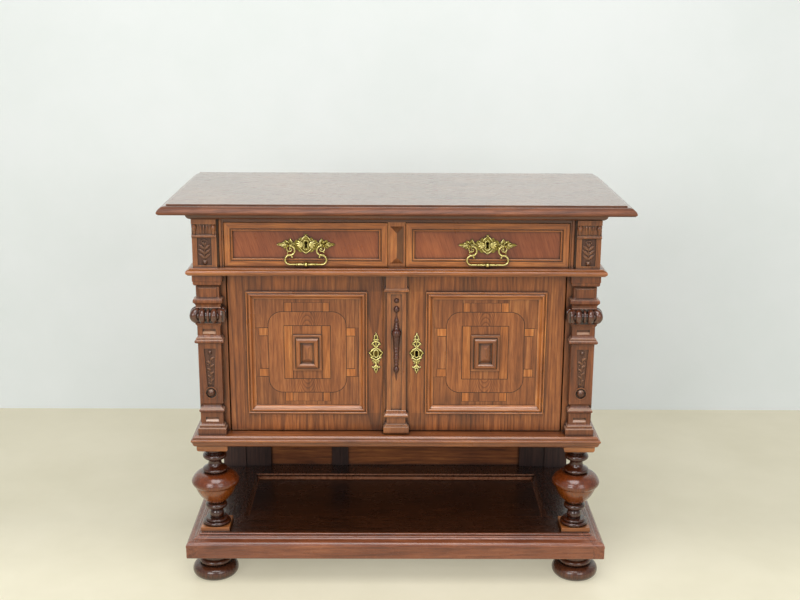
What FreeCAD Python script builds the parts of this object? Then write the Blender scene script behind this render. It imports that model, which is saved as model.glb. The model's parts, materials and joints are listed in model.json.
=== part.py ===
"""Parlour cabinet: two drawers over two doors, on ball supports above an open stand with a low shelf.

Millimetres. X runs to the viewer's right, Y to the back, Z up. The origin is on the floor, under the
centre of the cabinet.
"""
import FreeCAD
import Part
import math
import os
from FreeCAD import Vector

# Overall size
width = 1190.0
depth = 560.0
top_overhang = 73.5            # top board beyond the frieze blocks, at the front and both ends
back_inset = 4.0               # carcass back in front of the top board's back edge

# Heights, from the floor up
foot_height = 80.5
base_height = 60.0
stand_height = 251.0
ledge_height = 30.5
cupboard_height = 436.5
waist_height = 18.0
drawer_zone_height = 117.5
rail_height = 31.0
bed_height = 22.0
top_thickness = 25.0

# How far each moulding stands out from the frieze blocks, or from the top's flat
top_reach = 22.0
bed_reach = 15.5
waist_reach = 17.5
ledge_reach = 21.0
base_reach = 41.5

# Carcass boards
stile_width = 78.5
stile_thickness = 24.0
side_thickness = 22.0
side_rail_width = 72.0
side_panel_thickness = 8.0
side_panel_recess = 7.0
panel_tongue = 8.0             # how far a panel runs into its frame
back_thickness = 12.0
top_rail_depth = 66.0
shelf_thickness = 18.0
shelf_height = 208.0           # shelf underside above the ledge
shelf_setback = 46.0           # shelf front behind the door faces
cleat_size = 22.0

# Frieze
drawer_setback = 10.5          # drawer faces behind the frieze blocks' faces
block_width = 62.5
block_recess_width = 37.0
block_recess_height = 72.0
block_recess_depth = 3.0
block_margin = 7.0             # recess above the waist
fillet_height = 8.0
fillet_proud = 6.0
bracket_height = 27.0
bracket_proud = 5.0
bracket_end_radius = 7.0
bracket_bead_radius = 3.2
bracket_bead_pitch = 8.5
boss_radius = 6.5
bead_radius = 4.5
divider_width = 44.0
diamond_width = 34.5
diamond_height = 97.0
diamond_rise = 8.0

# Drawers
drawer_gap = 1.5
drawer_front_thickness = 18.0
drawer_side_thickness = 10.0
drawer_side_height = 92.0
drawer_bottom_thickness = 6.0
drawer_bottom_lift = 4.0
drawer_back_gap = 50.0         # drawer box's rear before the cabinet's back
drawer_box_inset = 1.5         # box sides inside the front's ends
drawer_moulding_width = 22.0
drawer_moulding_proud = 6.0
slide_clearance = 0.3
guide_clearance = 0.5
guide_height = 24.0

# Brass pulls
pull_thickness = 2.5
pull_half_length = 75.0
pull_half_height = 27.0
bail_standoff = 15.0           # hinge line in front of the drawer panel
bail_half_span = 40.5
bail_upper_radius = 12.3
bail_lower_radius = 12.3
bail_wire_radius = 2.6
bail_knob_radius = 6.5
pivot_pin_radius = 2.0
running_clearance = 0.05
post_offset = 5.5              # post centre beyond the bail's end
post_radius = 4.6
post_stem_radius = 3.2

# Locks
lock_width = 60.0
lock_height = 42.0
lock_thickness = 10.0
bolt_width = 22.0
bolt_thickness = 5.0
bolt_length = 30.0
bolt_travel = 8.0
bolt_clearance = 0.4
lock_margin = 1.0              # bolt end inside the lock's face

# Doors
door_setback = 30.5            # door faces behind the frieze blocks' faces
door_thickness = 24.0
door_gap = 2.0
meeting_gap = 1.5
meeting_margin = 1.0           # gap between the doors beside the centre pilaster's foot
field_margin = 48.5            # moulding inside the door's outer edge
field_end_margin = 49.0        # moulding inside the door's top and bottom edges
moulding_width = 21.5
moulding_lap = 10.0            # moulding on the door frame's face
moulding_proud = 8.0
door_panel_recess = 5.0
door_panel_thickness = 12.0
door_edge_round = 3.0
door_boss_width = 76.0
door_boss_height = 98.0
door_boss_border = 23.0
door_boss_proud = 16.0
door_boss_hip_margin = 1.0     # diamond inside the border
door_boss_hip_rise = 4.5
escutcheon_gap = 8.5           # escutcheon beside the centre pilaster's shaft
escutcheon_clearance = 3.0     # moulding beside the escutcheon
escutcheon_half_width = 20.0
escutcheon_half_height = 53.0
escutcheon_thickness = 2.5
keyhole_radius = 3.2
keyhole_slot = 3.0
keyhole_length = 9.0

# Door pivots
pivot_inset_x = 5.0            # pin centre inside the door's outer edge
pivot_inset_y = 5.0            # pin centre behind the door's face
pivot_radius = 2.5
pivot_plate_length = 42.0
pivot_plate_width = 10.0
pivot_plate_thickness = 3.0
pivot_plate_wall = 1.5         # plate round its pin or hole
pivot_depth = 2.4              # pin inside its socket plate

# Pilasters
pilaster_width = 60.0
pilaster_proud = 26.0          # shaft in front of the stile
pilaster_inset = 4.5           # shaft inside the carcass's end
pilaster_limit = 0.5           # all of it clear of the stile's inner edge, where the door turns
pilaster_reach = 8.0           # mouldings out from the shaft
pilaster_die = 0.125           # dies in from the shaft, as a share of that reach
pilaster_foot_height = 86.0
pilaster_head_height = 186.0
collar_height = 41.0
collar_drop = 89.0             # collar top under the waist
collar_core = 12.5             # half-round band out from the shaft, under the lobes
collar_lobe_radius = 9.0
collar_bead_radius = 3.6
collar_bead_sink = 2.0         # bead lower than the lobes
collar_corner_radius = 11.0    # lobes round the shaft's corners
collar_pitch = 15.5            # lobes each side of the middle bead
collar_side_pitch = 17.0       # side lobes behind the shaft's front
collar_clearance = 2.0         # collar clear of the opened door's moulding
tablet_width = 48.0
tablet_height = 26.0
tablet_proud = 2.5
tablet_bevel = 1.5
tablet_drop = 49.0             # tablet's middle under the waist
shaft_panel_width = 31.5
shaft_panel_foot = 16.0
shaft_panel_depth = 3.0
shaft_panel_top = 199.5        # below the waist
shaft_panel_bottom = 321.0
shaft_boss_radius = 11.0
shaft_boss_ring = 3.0
shaft_boss_ring_proud = 1.5
shaft_button_radius = 5.5
slot_width = 34.0
slot_height = 8.0
slot_depth = 5.0
neck_slot_drop = 146.0         # neck's slot under the waist
foot_slot_lift = 48.0          # foot's slot above the ledge
centre_pilaster_width = 50.0
centre_pilaster_proud = 18.0
centre_reach = 8.5             # mouldings out from the shaft
centre_foot_height = 65.0
centre_head_height = 48.5
centre_panel_width = 29.0
centre_panel_depth = 4.0
centre_panel_bottom = 66.0     # above the ledge
centre_panel_top = 54.0        # below the waist
baluster_length = 206.5
baluster_radius = 12.5
baluster_top = 85.5            # below the waist
baluster_button_radius = 6.5
baluster_button_lift = 14.0    # button's middle above the spindle

# Stand
support_inset = 31.5           # column axis inside the carcass's end
support_radius = 64.0
support_setback = 115.0        # column axis behind the top's nose
support_cap_width = 82.0
support_cap_height = 21.0
support_cap_round = 8.0        # cap's underside inside its upper half
support_plinth_width = 77.0
support_plinth_height = 12.0
rear_post_overhang = 7.5       # rear posts beyond the carcass's ends
rear_post_width = 68.0
rear_post_thickness = 24.0
rear_stile_width = 77.0
rear_stile_thickness = 18.0
stand_panel_thickness = 8.0
lath_x = -170.5
lath_width = 49.0
lath_thickness = 4.0
lath_notch_width = 15.0
lath_notch_bottom = 16.0
tray_front_width = 153.0       # base's front to the recessed tray
tray_side_width = 150.0
tray_back_width = 91.0
tray_recess = 14.0
tray_edge = 10.0
tray_step = 4.0
mitre_overrun = 0.2            # mitre planes past both ends of a mitre, as a share of its length
tray_panel_thickness = 10.0
foot_radius = 62.5
foot_inset = 79.5              # foot axis behind the base's front, and before its back
foot_side_inset = 66.0         # foot axis inside the base's end

# Lengths below this count as none
touching = 1e-6

# Levels
base_bottom = foot_height
base_top = base_bottom + base_height
ledge_bottom = base_top + stand_height
ledge_top = ledge_bottom + ledge_height
waist_bottom = ledge_top + cupboard_height
waist_top = waist_bottom + waist_height
rail_bottom = waist_top + drawer_zone_height
rail_top = rail_bottom + rail_height
bed_bottom = rail_top - bed_height

# Planes
nose_y = -depth / 2
block_y = nose_y + top_overhang
drawer_y = block_y + drawer_setback
door_y = block_y + door_setback
stile_back = door_y + stile_thickness
back_y = depth / 2 - back_inset
back_front_y = back_y - back_thickness
carcass_half = width / 2 - top_overhang
stile_inner = carcass_half - stile_width
side_inner = carcass_half - side_thickness
door_outer = stile_inner - door_gap
pivot_x = door_outer - pivot_inset_x
pivot_y = door_y + pivot_inset_y
door_bottom = ledge_top + door_gap
door_top = waist_bottom - door_gap
field_centre_z = (ledge_top + waist_bottom) / 2
meeting_x = -(centre_pilaster_width / 2 + centre_reach + meeting_margin + meeting_gap / 2)
escutcheon_x = centre_pilaster_width / 2 + escutcheon_gap + escutcheon_half_width
field_inner = escutcheon_x + escutcheon_half_width + escutcheon_clearance
moulding_outer_width = door_outer - field_margin - field_inner
moulding_outer_height = door_top - door_bottom - 2 * field_end_margin
field_centre_x = field_inner + moulding_outer_width / 2
swing_x = pivot_x + pivot_inset_y + moulding_proud + collar_clearance
swing_y = pivot_y + pivot_inset_x - field_margin + collar_clearance
pilaster_x = carcass_half - pilaster_inset - pilaster_width / 2
pilaster_y = door_y - pilaster_proud
drawer_inner = divider_width / 2 + drawer_gap
drawer_outer = stile_inner - drawer_gap
drawer_centre_x = (drawer_inner + drawer_outer) / 2
drawer_bottom = waist_top + slide_clearance
drawer_top = rail_bottom - drawer_gap
pull_z = (drawer_bottom + drawer_top) / 2
drawer_panel_y = drawer_y + drawer_moulding_proud
drawer_front_back = drawer_panel_y + drawer_front_thickness
hinge_y = drawer_panel_y - bail_standoff
base_front = block_y - base_reach
base_half = carcass_half + base_reach
foot_x = base_half - foot_side_inset
support_x = carcass_half - support_inset
support_y = nose_y + support_setback
rear_post_outer = carcass_half + rear_post_overhang
column_bottom = base_top + support_plinth_height
column_top = ledge_bottom - support_cap_height
stand_panel_y = back_y - stand_panel_thickness

# Moulding shapes from bottom to top: (share of the reach, share of the height), with a point passed
# through ahead of it where the step is an arc
top_shape = [
    (0.8, 0.0), (1.0, 0.16), (1.0, 0.3), (0.66, 0.68, 0.05, 0.84), (0.0, 0.84), (0.0, 1.0)]
bed_shape = [
    (0.0, 0.0), (0.12, 0.0), (0.66, 0.26, 0.84, 0.72), (1.0, 0.72), (1.0, 1.0)]
waist_shape = [
    (0.6, 0.0), (0.72, 0.0), (0.72, 0.08), (1.0, 0.44, 0.72, 0.8), (0.5, 0.84), (0.42, 1.0)]
ledge_shape = [
    (0.15, 0.0), (0.25, 0.0), (0.65, 0.1, 0.78, 0.38), (0.86, 0.38), (0.86, 0.46), (1.0, 0.6, 0.86, 0.74),
    (0.7, 0.78), (0.7, 0.86), (0.55, 1.0)]
base_shape = [
    (0.9, 0.0), (0.97, 0.02, 1.0, 0.07), (1.0, 0.52), (0.97, 0.7, 0.84, 0.78), (0.72, 0.8),
    (0.56, 0.82, 0.46, 0.88), (0.4, 0.88), (0.36, 0.92, 0.28, 0.93), (0.2, 0.93), (0.2, 0.96),
    (0.16, 0.99, 0.06, 1.0)]
cap_shape = [
    (-1.0, 0.0), (-0.3, 0.15, 0.0, 0.48), (0.0, 1.0)]

# Pilasters: (share of the reach out from the shaft, share of the height above the ledge), then the same
# below the waist
pilaster_foot = [
    (0.9, 0.0), (0.9, 0.19), (0.45, 0.22), (0.45, 0.28), (-0.05, 0.32, -pilaster_die, 0.38),
    (-pilaster_die, 0.7), (0.1, 0.72), (0.4, 0.765, 0.1, 0.81), (-0.5, 0.86, -0.75, 0.93),
    (-0.5, 0.98, 0.0, 1.0)]
pilaster_head = [
    (0.0, -1.0), (0.5, -0.99), (0.95, -0.962, 0.5, -0.935), (0.5, -0.92), (0.06, -0.9, -pilaster_die, -0.86),
    (-pilaster_die, -0.76), (0.1, -0.735, 0.5, -0.71), (0.5, -0.49), (0.2, -0.47), (0.35, -0.43, 0.95, -0.4),
    (1.0, -0.375, 0.9, -0.35), (0.12, -0.345), (-pilaster_die, -0.32), (-pilaster_die, -0.18), (-0.4, -0.165),
    (0.0, -0.16), (0.55, -0.15, 0.8, -0.125), (0.8, -0.1), (1.0, -0.095), (1.0, 0.0)]
centre_foot = [
    (1.0, 0.045), (1.0, 0.29), (0.6, 0.32), (0.6, 0.385), (0.0, 0.415), (0.0, 0.69), (0.82, 0.74),
    (0.82, 0.8), (0.3, 0.877, 0.12, 0.985), (0.0, 1.0)]
centre_head = [
    (0.0, -1.0), (0.82, -0.94), (0.82, -0.86), (0.235, -0.785), (0.235, -0.08)]

# Turned shapes from bottom to top: (share of the radius, share of the height)
column_shape = [
    (0.55, 0.0), (0.58, 0.02, 0.55, 0.04), (0.46, 0.045), (0.48, 0.06, 0.44, 0.075), (0.27, 0.08),
    (0.3, 0.13, 0.2, 0.19), (0.27, 0.205), (0.46, 0.24, 0.36, 0.275), (0.33, 0.28), (0.68, 0.385, 0.87, 0.51),
    (0.93, 0.52), (1.0, 0.56, 0.96, 0.6), (0.8, 0.66, 0.5, 0.69), (0.44, 0.695),
    (0.52, 0.715, 0.46, 0.745), (0.33, 0.77), (0.27, 0.815, 0.31, 0.855), (0.36, 0.86),
    (0.5, 0.9, 0.38, 0.935), (0.36, 0.94), (0.42, 0.97, 0.5, 0.985), (0.5, 1.0)]
foot_shape = [
    (0.64, 0.0), (1.0, 0.24, 0.76, 0.47), (0.66, 0.48), (0.71, 0.56, 0.66, 0.64), (0.58, 0.67), (0.58, 1.0)]
baluster_shape = [
    (0.0, 0.0), (0.16, 0.05), (0.2, 0.105), (0.26, 0.12), (0.57, 0.161, 0.3, 0.2), (0.39, 0.21), (0.39, 0.27),
    (0.55, 0.315, 0.42, 0.36), (0.58, 0.46, 0.76, 0.6), (0.88, 0.61), (1.0, 0.645, 0.84, 0.68), (0.62, 0.69),
    (0.46, 0.73, 0.42, 0.775), (0.34, 0.78), (0.42, 0.805, 0.3, 0.83), (0.19, 0.87, 0.18, 0.91),
    (0.28, 0.916), (0.59, 0.957, 0.2, 0.997), (0.0, 1.0)]
bail_bar_shape = [
    (1.0, 0.0), (0.83, 0.09, 0.43, 0.12), (0.615, 0.17, 0.43, 0.22), (0.523, 0.34, 0.43, 0.52),
    (0.708, 0.57, 0.43, 0.62), (0.4, 0.66), (0.4, 1.0)]
lobe_shape = [
    (0.45, 0.0), (0.66, 0.4), (1.0, 0.72, 0.45, 1.0)]

# Right halves of the brass outlines from top to bottom, as shares of the half length and half height
pull_outline = [
    (0.0, 1.0), (0.05, 0.95, 0.04, 0.86), (0.07, 0.7, 0.14, 0.62), (0.22, 0.62, 0.2, 0.45), (0.3, 0.46),
    (0.37, 0.36, 0.38, 0.24), (0.46, 0.22), (0.53, 0.62), (0.6, 0.36), (0.72, 0.44), (0.78, 0.2, 0.86, 0.14),
    (0.93, 0.12, 1.0, 0.0), (0.93, -0.1, 0.86, -0.12), (0.8, -0.18, 0.75, -0.4), (0.66, -0.3, 0.6, -0.2),
    (0.46, -0.2), (0.38, -0.16), (0.36, -0.4, 0.27, -0.46), (0.22, -0.7, 0.14, -0.68),
    (0.07, -0.76, 0.04, -0.84), (0.0, -0.94)]
escutcheon_outline = [
    (0.0, 1.0), (0.22, 0.93, 0.26, 0.84), (0.12, 0.7), (0.42, 0.66), (0.62, 0.56, 0.5, 0.44), (0.2, 0.33),
    (0.6, 0.27), (0.72, 0.14), (1.0, 0.03), (0.76, -0.1), (0.7, -0.22, 0.5, -0.32), (0.22, -0.39),
    (0.5, -0.44), (0.62, -0.51, 0.5, -0.57), (0.2, -0.64), (0.56, -0.72), (0.42, -0.8, 0.2, -0.82),
    (0.2, -0.9), (0.0, -1.0)]

# Door moulding: (share of the width from the outer edge, share of the proud height)
door_moulding_shape = [
    (0.0, 0.0), (0.0, 0.62), (0.07, 1.0, 0.17, 0.85), (0.22, 0.6), (0.3, 0.68), (0.44, 0.94, 0.6, 0.62),
    (0.72, 0.1, 1.0, -0.3)]
drawer_moulding_shape = [
    (0.0, 0.0), (0.0, 0.9), (0.04, 1.0), (0.68, 1.0), (0.72, 0.6), (0.79, 0.6),
    (0.87, 0.95, 0.97, 0.3), (1.0, 0.0)]
boss_border_shape = [
    (0.0, 0.0), (0.0, 0.34), (0.04, 0.42), (0.28, 0.42), (0.31, 0.28), (0.36, 0.28), (0.38, 0.72),
    (0.58, 1.0, 0.88, 0.78), (0.94, 0.28), (1.0, 0.28), (1.0, 0.0)]


def box(x_span, y_span, z_span):
    """A block between two X, two Y and two Z values."""
    corner = Vector(min(x_span), min(y_span), min(z_span))
    sizes = [abs(span[1] - span[0]) for span in (x_span, y_span, z_span)]
    return Part.makeBox(*sizes, corner)


def flip(shape):
    """The same piece on the other side of the cabinet."""
    return shape.mirror(Vector(0, 0, 0), Vector(1, 0, 0))


def fuse(shapes):
    """One solid from overlapping shapes."""
    return shapes[0].multiFuse(shapes[1:]).removeSplitter()


def scaled(shape, across, along, start=0.0):
    """A unit outline at its real size: across and along are the sizes that its shares are of."""
    steps = []
    for step in shape:
        pairs = zip(step[0::2], step[1::2])
        steps.append(tuple(value for a, b in pairs for value in (a * across, start + b * along)))
    return steps


def trace(outline, place):
    """Edges along an outline: a pair is a line's end, and two pairs are an arc's middle and end."""
    edges = []
    here = place(*outline[0])
    for step in outline[1:]:
        end = place(*step[-2:])
        if len(step) == 4:
            edges.append(Part.Arc(here, place(*step[:2]), end).toShape())
        else:
            edges.append(Part.makeLine(here, end))
        here = end
    return edges


def face_of(edges):
    """The flat face inside a closed run of edges."""
    return Part.Face(Part.Wire(Part.__sortEdges__(edges)))


def mitred(profile, half_width, front, back, centre=0.0):
    """A block with a moulded profile round its front and both ends, mitred at the two front corners."""
    reach = max(max(step[0::2]) for step in profile)
    low, high = profile[0][-1], profile[-1][-1]
    far_left = centre - half_width - reach

    def front_edge(offset, z):
        return Vector(far_left, front - offset, z)

    def right_edge(offset, z):
        return Vector(centre + half_width + offset, front - reach, z)

    def left_edge(offset, z):
        return Vector(centre - half_width - offset, front - reach, z)

    section = trace(profile, front_edge)
    corners = [front_edge(*profile[-1][-2:]), Vector(far_left, back, high), Vector(far_left, back, low),
               front_edge(*profile[0])]
    section += [Part.makeLine(a, b) for a, b in zip(corners, corners[1:])]
    lengthwise = face_of(section).extrude(Vector(2 * (half_width + reach), 0, 0))
    section = trace(profile, right_edge) + trace(profile, left_edge)
    for step in (profile[0], profile[-1]):
        section.append(Part.makeLine(right_edge(*step[-2:]), left_edge(*step[-2:])))
    crosswise = face_of(section).extrude(Vector(0, back - front + reach, 0))
    return lengthwise.common(crosswise)


def ring(profile, half_width, half_height, centre, face):
    """A mitred frame in front of a face; the profile is (inset from the outer edge, height off the face)."""
    span = max(max(step[0::2]) for step in profile)
    proud = [value for step in profile for value in step[1::2]]
    sides = []
    for turn in range(4):
        long_half, short_half = half_width, half_height
        if turn % 2:
            long_half, short_half = half_height, half_width

        def place(inset, rise, long_half=long_half, short_half=short_half):
            return Vector(-long_half, -rise, short_half - inset)

        bar = face_of(trace(profile + [profile[0]], place)).extrude(Vector(2 * long_half, 0, 0))
        wedge_y = -max(proud)
        corners = [Vector(-long_half, wedge_y, short_half), Vector(long_half, wedge_y, short_half),
                   Vector(long_half - span, wedge_y, short_half - span),
                   Vector(span - long_half, wedge_y, short_half - span)]
        wedge = Part.Face(Part.makePolygon(corners + corners[:1]))
        bar = bar.common(wedge.extrude(Vector(0, max(proud) - min(proud), 0)))
        bar.rotate(Vector(0, 0, 0), Vector(0, 1, 0), 90 * turn)
        sides.append(bar)
    frame = fuse(sides)
    frame.translate(Vector(centre[0], face, centre[1]))
    return frame


def turned(profile, x, y):
    """A piece turned round a vertical axis; the profile is (radius, z) from bottom to top."""
    edges = trace(profile, lambda radius, z: Vector(radius, 0, z))
    ends = [Vector(0, 0, profile[-1][-1]), Vector(0, 0, profile[0][-1])]
    path = [Vector(profile[-1][-2], 0, profile[-1][-1])] + ends + [Vector(profile[0][0], 0, profile[0][1])]
    edges += [Part.makeLine(a, b) for a, b in zip(path, path[1:]) if (a - b).Length > touching]
    solid = face_of(edges).revolve(Vector(0, 0, 0), Vector(0, 0, 1), 360)
    solid.translate(Vector(x, y, 0))
    return solid


def hip(centre, half_width, half_height, face, rise):
    """A hipped diamond on a face, with its ridge upright."""
    x, z = centre
    ridge = half_height - half_width
    base = [Vector(x + sx * half_width, face, z + sz * half_height)
            for sx, sz in ((-1, -1), (1, -1), (1, 1), (-1, 1))]
    low, high = (Vector(x, face - rise, z + side * ridge) for side in (-1, 1))
    loops = [base, [base[0], base[3], high, low], [base[1], base[2], high, low],
             [base[0], base[1], low], [base[3], base[2], high]]
    faces = [Part.Face(Part.makePolygon(loop + loop[:1])) for loop in loops]
    return Part.makeSolid(Part.makeShell(faces))


def plate(outline, half_width, half_height, centre, face, thickness):
    """A symmetrical flat plate on a face, from the outline of its right half."""
    x, z = centre
    steps = scaled(outline, half_width, half_height)
    edges = trace(steps, lambda a, b: Vector(x + a, face, z + b))
    edges += trace(steps, lambda a, b: Vector(x - a, face, z + b))
    return face_of(edges).extrude(Vector(0, -thickness, 0))


def raised_tablet(centre, face):
    """A small raised panel with bevelled edges on a face."""
    x, z = centre
    front = face - tablet_proud
    tablet = box((x - tablet_width / 2, x + tablet_width / 2), (front, face),
                 (z - tablet_height / 2, z + tablet_height / 2))
    rim = [edge for edge in tablet.Edges if abs(edge.CenterOfMass.y - front) < touching]
    return tablet.makeChamfer(tablet_bevel, rim)


def sunk_slot(x, top, face):
    """The space of a slot in a face, with a sloping sill."""
    low = top - slot_height
    corners = [Vector(x - slot_width / 2, face + y, z) for y, z in (
        (0.0, top), (slot_depth, top), (slot_depth, low), (0.0, low - slot_depth))]
    return Part.Face(Part.makePolygon(corners + corners[:1])).extrude(Vector(slot_width, 0, 0))


def top_board():
    profile = scaled(top_shape, top_reach, top_thickness, rail_top)
    return mitred(profile, width / 2 - top_reach, nose_y + top_reach, depth / 2)


def bed_moulding():
    profile = scaled(bed_shape, bed_reach, bed_height, bed_bottom)
    block = mitred(profile, carcass_half, block_y, back_y)
    core = box((-carcass_half, carcass_half), (door_y, back_y), (bed_bottom, rail_top))
    rail = box((-stile_inner, stile_inner), (drawer_y, back_y), (bed_bottom, rail_top))
    return block.cut(core).cut(rail)


def waist_moulding():
    profile = scaled(waist_shape, waist_reach, waist_height, waist_bottom)
    block = mitred(profile, carcass_half, block_y, back_y)
    return block.cut(box((-carcass_half, carcass_half), (door_y, back_y), (waist_bottom, waist_top)))


def pivot_plate(side, level, rise):
    """The space of a pivot plate let into a flat face, above the level or, with a negative rise, below it."""
    outer = pivot_x + pivot_radius + pivot_plate_wall
    front = pivot_y - pivot_radius - pivot_plate_wall
    return box((side * outer, side * (outer - pivot_plate_length)), (front, front + pivot_plate_width),
               (level, level + rise))


def ledge_board():
    profile = scaled(ledge_shape, ledge_reach, ledge_height, ledge_bottom)
    board = mitred(profile, carcass_half, block_y, back_y)
    for side in (-1, 1):
        board = board.cut(pivot_plate(side, ledge_top, -pivot_plate_thickness))
    return board


def dust_board():
    board = box((-side_inner, side_inner), (door_y, back_front_y), (waist_bottom, waist_top))
    for side in (-1, 1):
        board = board.cut(box((side * stile_inner, side * side_inner), (door_y, stile_back),
                              (waist_bottom, waist_top)))
        board = board.cut(pivot_plate(side, waist_bottom, pivot_plate_thickness))
    return board


def pivot_sockets():
    plates = []
    for side in (-1, 1):
        for level, rise in ((ledge_top, -pivot_plate_thickness), (waist_bottom, pivot_plate_thickness)):
            hole = Part.makeCylinder(pivot_radius + running_clearance, 2 * pivot_plate_thickness,
                                     Vector(side * pivot_x, pivot_y, level - pivot_plate_thickness))
            plates.append(pivot_plate(side, level, rise).cut(hole))
    return Part.makeCompound(plates)


def lock_mortise(side):
    """The pocket in the top rail that takes a drawer's bolt."""
    reach = bolt_travel - lock_margin - drawer_gap + bolt_clearance
    across = bolt_width / 2 + bolt_clearance
    middle = drawer_front_back + lock_thickness / 2
    along = bolt_thickness / 2 + bolt_clearance
    centre = side * drawer_centre_x
    return box((centre - across, centre + across), (middle - along, middle + along),
               (rail_bottom, rail_bottom + reach))


def top_rail():
    rail = box((-stile_inner, stile_inner), (drawer_y, drawer_y + top_rail_depth), (rail_bottom, rail_top))
    for side in (-1, 1):
        rail = rail.cut(lock_mortise(side))
    return rail


def frieze_block():
    """The right corner block of the frieze, with its bracket and boss, and the beaded strip beside it."""
    inner = carcass_half - block_width
    centre = carcass_half - block_width / 2
    body = box((inner, carcass_half), (block_y, door_y), (waist_top, bed_bottom))
    panel_bottom = waist_top + block_margin
    panel_top = panel_bottom + block_recess_height
    half = block_recess_width / 2
    floor = block_y + block_recess_depth
    body = body.cut(box((centre - half, centre + half), (block_y, floor), (panel_bottom, panel_top)))
    fillet_top = panel_top + fillet_height
    round_y = block_y - fillet_proud + fillet_height / 2
    pieces = [body, box((inner, carcass_half), (round_y, block_y), (panel_top, fillet_top)),
              Part.makeCylinder(fillet_height / 2, block_width,
                                Vector(inner, round_y, panel_top + fillet_height / 2), Vector(1, 0, 0))]
    bracket_top = fillet_top + bracket_height
    pieces.append(box((inner, carcass_half), (block_y - bracket_proud, block_y), (bracket_top, bed_bottom)))
    lobes = [(side * (block_width / 2 - bracket_end_radius), bracket_end_radius) for side in (-1, 1)]
    lobes += [(index * bracket_bead_pitch, bracket_bead_radius) for index in (-1, 0, 1)]
    for offset, radius in lobes:
        lobe = turned(scaled(lobe_shape, radius, bracket_height, fillet_top), centre + offset, block_y)
        pieces.append(lobe.common(box((inner, carcass_half), (nose_y, door_y), (fillet_top, bracket_top))))
    pieces.append(Part.makeSphere(boss_radius, Vector(centre, floor, panel_bottom + boss_radius)).common(
        box((inner, carcass_half), (block_y - boss_radius, door_y), (waist_top, bed_bottom))))
    strip = box((stile_inner, inner), (drawer_y, door_y), (waist_top, bed_bottom))
    bead = Part.makeCylinder(bead_radius, bed_bottom - waist_top,
                             Vector((stile_inner + inner) / 2, drawer_y, waist_top))
    return Part.makeCompound([fuse(pieces), fuse([strip, bead])])


def drawer_divider():
    half = divider_width / 2
    post = box((-half, half), (drawer_y, stile_back), (waist_top, rail_bottom))
    middle = (waist_top + rail_bottom) / 2
    return fuse([post, hip((0, middle), diamond_width / 2, diamond_height / 2, drawer_y, diamond_rise)])


def drawer_guides():
    level = (waist_top, waist_top + guide_height)
    run = (stile_back, back_front_y)
    centre = drawer_inner + drawer_box_inset - guide_clearance
    outer = drawer_outer - drawer_box_inset + guide_clearance
    guides = [box((-centre, centre), run, level)]
    guides += [box((side * outer, side * side_inner), run, level) for side in (-1, 1)]
    return Part.makeCompound(guides)


def front_stiles():
    return Part.makeCompound([
        box((side * stile_inner, side * carcass_half), (door_y, stile_back), (ledge_top, rail_top))
        for side in (-1, 1)])


def side_window(grow=0.0):
    """The panel opening of a side frame in Y and Z, grown by the panel's tongue where it is the panel."""
    return ((stile_back + side_rail_width - grow, back_y - side_rail_width + grow),
            (ledge_top + side_rail_width - grow, waist_bottom - side_rail_width + grow))


def side_panel():
    outer = carcass_half - side_panel_recess
    return box((outer - side_panel_thickness, outer), *side_window(panel_tongue))


def side_frame():
    board = box((side_inner, carcass_half), (stile_back, back_y), (ledge_top, rail_top))
    return board.cut(box((side_inner, carcass_half), *side_window())).cut(side_panel())


def back_panel():
    return box((-side_inner, side_inner), (back_front_y, back_y), (ledge_top, rail_top))


def inner_shelf():
    """The shelf and the two cleats that it lies on."""
    run = (door_y + shelf_setback, back_front_y)
    level = ledge_top + shelf_height
    pieces = [box((-side_inner, side_inner), run, (level, level + shelf_thickness))]
    pieces += [box((side * (side_inner - cleat_size), side * side_inner), run, (level - cleat_size, level))
               for side in (-1, 1)]
    return Part.makeCompound(pieces)


def pilaster():
    """The right corner pilaster: slotted foot, tapered panelled shaft, slotted neck and moulded head."""
    profile = scaled(pilaster_foot, pilaster_reach, pilaster_foot_height, ledge_top)
    profile += scaled(pilaster_head, pilaster_reach, pilaster_head_height, waist_bottom)
    body = mitred(profile, pilaster_width / 2, pilaster_y, door_y, pilaster_x)
    keep = box((stile_inner + pilaster_limit, width / 2), (nose_y, door_y), (ledge_top, waist_bottom))
    body = body.common(keep).cut(collar_space())
    top, bottom = waist_bottom - shaft_panel_top, waist_bottom - shaft_panel_bottom
    corners = [Vector(pilaster_x + share * size / 2, pilaster_y, z) for share, size, z in (
        (-1, shaft_panel_width, top), (1, shaft_panel_width, top),
        (1, shaft_panel_foot, bottom), (-1, shaft_panel_foot, bottom))]
    taper = Part.Face(Part.makePolygon(corners + corners[:1])).extrude(Vector(0, shaft_panel_depth, 0))
    body = body.cut(taper).fuse(shaft_ring(bottom)).cut(shaft_well(bottom))
    die = pilaster_y + pilaster_die * pilaster_reach
    for level in (waist_bottom - neck_slot_drop, ledge_top + foot_slot_lift):
        body = body.cut(sunk_slot(pilaster_x, level, die))
    floor = pilaster_y + shaft_panel_depth
    bosses = [Part.makeSphere(shaft_boss_radius, Vector(pilaster_x, floor, bottom)),
              Part.makeSphere(shaft_button_radius, Vector(pilaster_x, floor, top - 2 * shaft_button_radius))]
    return fuse([body, raised_tablet((pilaster_x, waist_bottom - tablet_drop), die)] + bosses)


def shaft_well(level):
    """The round well of a shaft's boss, from the front of its ring to the panel's floor."""
    return Part.makeCylinder(shaft_boss_radius + shaft_panel_depth, shaft_boss_ring_proud + shaft_panel_depth,
                             Vector(pilaster_x, pilaster_y - shaft_boss_ring_proud, level), Vector(0, 1, 0))


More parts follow.
